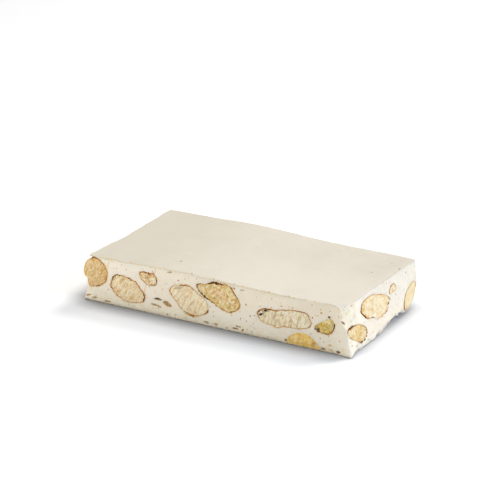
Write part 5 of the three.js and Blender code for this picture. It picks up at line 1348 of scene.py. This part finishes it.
def nut_material(kind):
    m, nt = new_material(kind)
    n = Nodes(nt)
    tone = n.attribute("tone", "Color")
    fib = n.attribute("fibre", "Vector")
    look = n.add("ShaderNodeSeparateXYZ")
    n.link(n.attribute("look", "Vector"), look.inputs[0])
    streak, blotch, gold = look.outputs
    cast = n.add("ShaderNodeSeparateXYZ")
    n.link(n.attribute("cast", "Vector"), cast.inputs[0])
    grey, green, _ = cast.outputs
    rim, deep, skin = n.attribute("rim"), n.attribute("deep"), n.attribute("skin")
    # fibres that the knife drew out across the flesh
    f1 = n.noise(n.scaled(fib, (0.16, 1.0, 1.0)), 1.25, 3, 0.6)
    f2 = n.noise(n.scaled(fib, (0.22, 1.0, 1.0)), 3.0, 2, 0.5)
    blot = n.noise(fib, 0.75, 3, 0.6, 0.4)
    fine = n.noise(fib, 2.6, 2, 0.55)
    light = n.mix(0.62, tone, (0.97, 0.94, 0.82, 1))
    warm = n.mix(1.0, tone, (0.84, 0.62, 0.34, 1), "MULTIPLY")
    dusk = n.mix(1.0, tone, (0.70, 0.59, 0.37, 1), "MULTIPLY")
    col = n.mix(n.math("MULTIPLY", n.level(f1, 0.50, 0.60), n.math("MULTIPLY", streak, 0.95)), tone, warm)
    col = n.mix(n.math("MULTIPLY", n.level(f2, 0.48, 0.37), n.math("MULTIPLY", streak, 0.85)), col, light)
    col = n.mix(n.math("MULTIPLY", n.level(f2, 0.57, 0.66), n.math("MULTIPLY", streak, 0.75)), col, dusk)
    col = n.mix(n.math("MULTIPLY", n.level(blot, 0.51, 0.62), blotch), col, warm)
    col = n.mix(n.math("MULTIPLY", n.level(blot, 0.47, 0.37), blotch), col, light)
    col = n.mix(n.math("MULTIPLY", n.level(fine, 0.55, 0.65), n.math("MULTIPLY", blotch, 0.8)), col, dusk)
    col = n.mix(n.math("MULTIPLY", n.level(fine, 0.45, 0.36), n.math("MULTIPLY", blotch, 0.7)), col, light)
    # dull grey cross marks, or a green cast, on some
    mark = n.noise(n.scaled(fib, (0.30, 1.0, 1.0)), 0.85, 3, 0.65, 0.5)
    col = n.mix(n.math("MULTIPLY", n.level(mark, 0.51, 0.60), grey), col, n.mix(1.0, tone, (0.66, 0.55, 0.40, 1), "MULTIPLY"))
    col = n.mix(n.math("MULTIPLY", n.level(n.noise(fib, 0.35, 2, 0.5), 0.42, 0.62), green), col, (0.55, 0.47, 0.14, 1))
    # the flesh is deeper in colour next to the skin
    col = n.mix(n.math("MULTIPLY", n.level(rim, 1.1, 0.15, 0.0, 0.55), gold), col, n.mix(1.0, tone, (0.88, 0.70, 0.42, 1), "MULTIPLY"))
    # skin: a thin uneven line at the rim, and all of the nut's outside
    wob = n.math("MULTIPLY_ADD", n.level(n.noise(fib, 1.9, 3, 0.6), 0.32, 0.68), 1.1, 0.40)
    wide = n.math("MULTIPLY", skin, wob)
    on_rim = n.math("MULTIPLY", n.level(n.math("SUBTRACT", wide, rim), -0.05, 0.04), n.level(skin, 0.03, 0.10))
    on_body = n.math("MULTIPLY", n.level(deep, 0.02, 0.12), n.level(skin, 0.02, 0.10))
    bead = n.level(n.noise(fib, 1.7, 3, 0.65), 0.36, 0.64, -0.5, 0.5)
    dark = n.level(n.math("ADD", n.attribute("burn"), bead), 0.46, 0.78)
    if kind == "pistachio":
        skin_col = n.mix(dark, (0.34, 0.105, 0.03, 1), (0.05, 0.013, 0.016, 1))
    else:
        skin_col = n.mix(dark, (0.60, 0.215, 0.022, 1), (0.105, 0.024, 0.006, 1))
    # colour that has bled from the skin into the flesh beside it
    bled = n.math("MULTIPLY", n.level(n.math("SUBTRACT", rim, wide), 0.30, 0.0), n.math("MULTIPLY", n.level(skin, 0.05, 0.2), n.level(n.noise(fib, 1.1, 3, 0.6), 0.40, 0.60)))
    col = n.mix(n.math("MULTIPLY", bled, 0.6), col, (0.68, 0.38, 0.075, 1))
    s = n.math("MAXIMUM", on_rim, on_body)
    out = n.mix(s, col, skin_col)
    height = n.math("MULTIPLY_ADD", f1, streak, n.math("MULTIPLY_ADD", fine, n.math("MULTIPLY_ADD", blotch, 0.8, 0.3), n.math("MULTIPLY", f2, 0.5)))
    bump = n.bump(height, 0.5, 0.00012)
    rough = n.level(fine, 0.3, 0.7, 0.55, 0.72)
    n.surface(Base_Color=out, Roughness=rough, Normal=bump, IOR=1.46,
              Subsurface_Weight=0.12, Subsurface_Radius=(1.2, 0.9, 0.6), Subsurface_Scale=0.001, Specular_IOR_Level=0.12)
    return m


def speck_material():
    m, nt = new_material("skin_specks")
    n = Nodes(nt)
    mm = n.scaled(n.coords(), 1000.0)
    shade = n.attribute("shade", "Color")
    col = n.mix(n.level(n.noise(mm, 4.0, 3, 0.6), 0.35, 0.65, 0.0, 0.6), shade, n.mix(1.0, shade, (0.62, 0.50, 0.42, 1), "MULTIPLY"))
    bump = n.bump(n.noise(mm, 7.0, 2, 0.5), 0.4, 0.00008)
    n.surface(Base_Color=col, Roughness=n.level(n.noise(mm, 3.0, 2, 0.5), 0.3, 0.7, 0.42, 0.6), Normal=bump, IOR=1.46,
              Specular_IOR_Level=0.12)
    return m


def floor_material():
    m, nt = new_material("floor")
    n = Nodes(nt)
    # painted contact shadow: ambient occlusion darkens the floor's colour and glow round the bar, more softly to the
    # right of it
    ao = n.add("ShaderNodeAmbientOcclusion", samples=16, only_local=False)
    ao.inputs["Distance"].default_value = 0.009
    wide = n.add("ShaderNodeAmbientOcclusion", samples=16, only_local=False)
    wide.inputs["Distance"].default_value = 0.012
    near = n.ramp(wide.outputs["AO"], (0.48, (0.23, 0.23, 0.235)), (0.62, (0.40, 0.40, 0.405)), (0.745, (0.58, 0.58, 0.585)), (0.88, (0.79, 0.79, 0.795)), (0.96, (0.95, 0.95, 0.955)), (1.0, (1.0, 1.0, 1.0)))
    soft = n.ramp(ao.outputs["AO"], (0.48, (0.39, 0.39, 0.395)), (0.62, (0.61, 0.61, 0.615)), (0.78, (0.81, 0.81, 0.815)), (0.92, (0.93, 0.93, 0.93)), (1.0, (1.0, 1.0, 1.0)))
    where = n.add("ShaderNodeSeparateXYZ")
    n.link(n.coords(), where.inputs[0])
    near = n.mix(n.math("MULTIPLY", n.level(where.outputs[0], 0.047, 0.053), n.level(where.outputs[1], -0.0305, -0.0275)), near, soft)
    p = n.surface(Base_Color=n.mix(1.0, near, (0.935, 0.956, 0.992, 1), "MULTIPLY"), Roughness=0.9, Emission_Color=n.mix(1.0, near, (0.83, 0.90, 1.0, 1), "MULTIPLY"), Emission_Strength=0.30)
    p.inputs["Specular IOR Level"].default_value = 0.1
    return m


MATS = dict(nougat=nougat_material(), wafer=wafer_material(), almond=nut_material("almond"), pistachio=nut_material("pistachio"), specks=speck_material())


def finish_piece(ob, mat, slot, *nodes):
    ob.data.materials.clear()
    ob.data.materials.append(MATS[mat])
    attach(ob, "root")
    if nodes:
        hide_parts(*nodes)


finish_piece(nougat, "nougat", "nougat", "nougat")
finish_piece(wafer_top, "wafer", "wafer", "wafer_top")
finish_piece(wafer_bottom, "wafer", "wafer", "wafer_bottom")
for name, ob in nut_objects.items():
    kind = NUTS[name].get("kind", "almond")
    finish_piece(ob, kind, kind, name)
finish_piece(specks, "specks", "almond")

# ------------------------------------------------------------------ stage, light, camera
bpy.ops.mesh.primitive_plane_add(size=6.0, location=(0, 0, -0.00005))
floor = bpy.context.object
floor.name = "floor"
floor.data.materials.append(floor_material())

world = bpy.data.worlds.new("studio")
bpy.context.scene.world = world
world.use_nodes = True
bg = world.node_tree.nodes["Background"]
bg.inputs[0].default_value = (1.0, 0.86, 0.66, 1)
bg.inputs[1].default_value = 0.03


def area_light(name, loc, target, size, watts, colour):
    d = bpy.data.lights.new(name, "AREA")
    d.shape, d.size, d.size_y = "RECTANGLE", size[0], size[1]
    d.energy, d.color = watts, colour
    o = bpy.data.objects.new(name, d)
    bpy.context.scene.collection.objects.link(o)
    o.location = loc
    o.rotation_euler = (Vector(target) - Vector(loc)).to_track_quat("-Z", "Y").to_euler()
    return o


area_light("key", (1.08, -0.04, 0.62), (0, 0, 0.01), (0.55, 0.55), 7.86, (0.86, 0.905, 1.0))
area_light("fill", (-0.37, -0.42, 0.27), (0, 0, 0.01), (0.35, 0.35), 2.17, (1.0, 0.93, 0.80))
area_light("rear", (0.35, 0.95, 0.90), (0, 0, 0.01), (0.6, 0.6), 14.6, (1.0, 0.945, 0.85))

AZ, EL, DIST, FOCAL_PX = 30.2202, 20.2200, 1.0, 2658.86
AIM = (-0.007862 - CENTRE[0] * MM, 0.004778 - CENTRE[1] * MM, 0.021952)
a, e = math.radians(AZ), math.radians(EL)
back = Vector((math.sin(a) * math.cos(e), -math.cos(a) * math.cos(e), math.sin(e)))
cam_data = bpy.data.cameras.new("camera")
cam_data.sensor_width = 36.0
cam_data.lens = 36.0 * FOCAL_PX / 480.0
cam_data.clip_start, cam_data.clip_end = 0.05, 20.0
cam = bpy.data.objects.new("camera", cam_data)
bpy.context.scene.collection.objects.link(cam)
cam.location = Vector(AIM) + back * DIST
cam.rotation_mode = "QUATERNION"
cam.rotation_quaternion = (-back).to_track_quat("-Z", "Y")
bpy.context.scene.camera = cam
bpy.context.scene.view_settings.view_transform = "Standard"
bpy.context.scene.view_settings.look = "None"
bpy.context.scene.view_settings.exposure = 0.0
bpy.context.scene.view_settings.gamma = 1.0
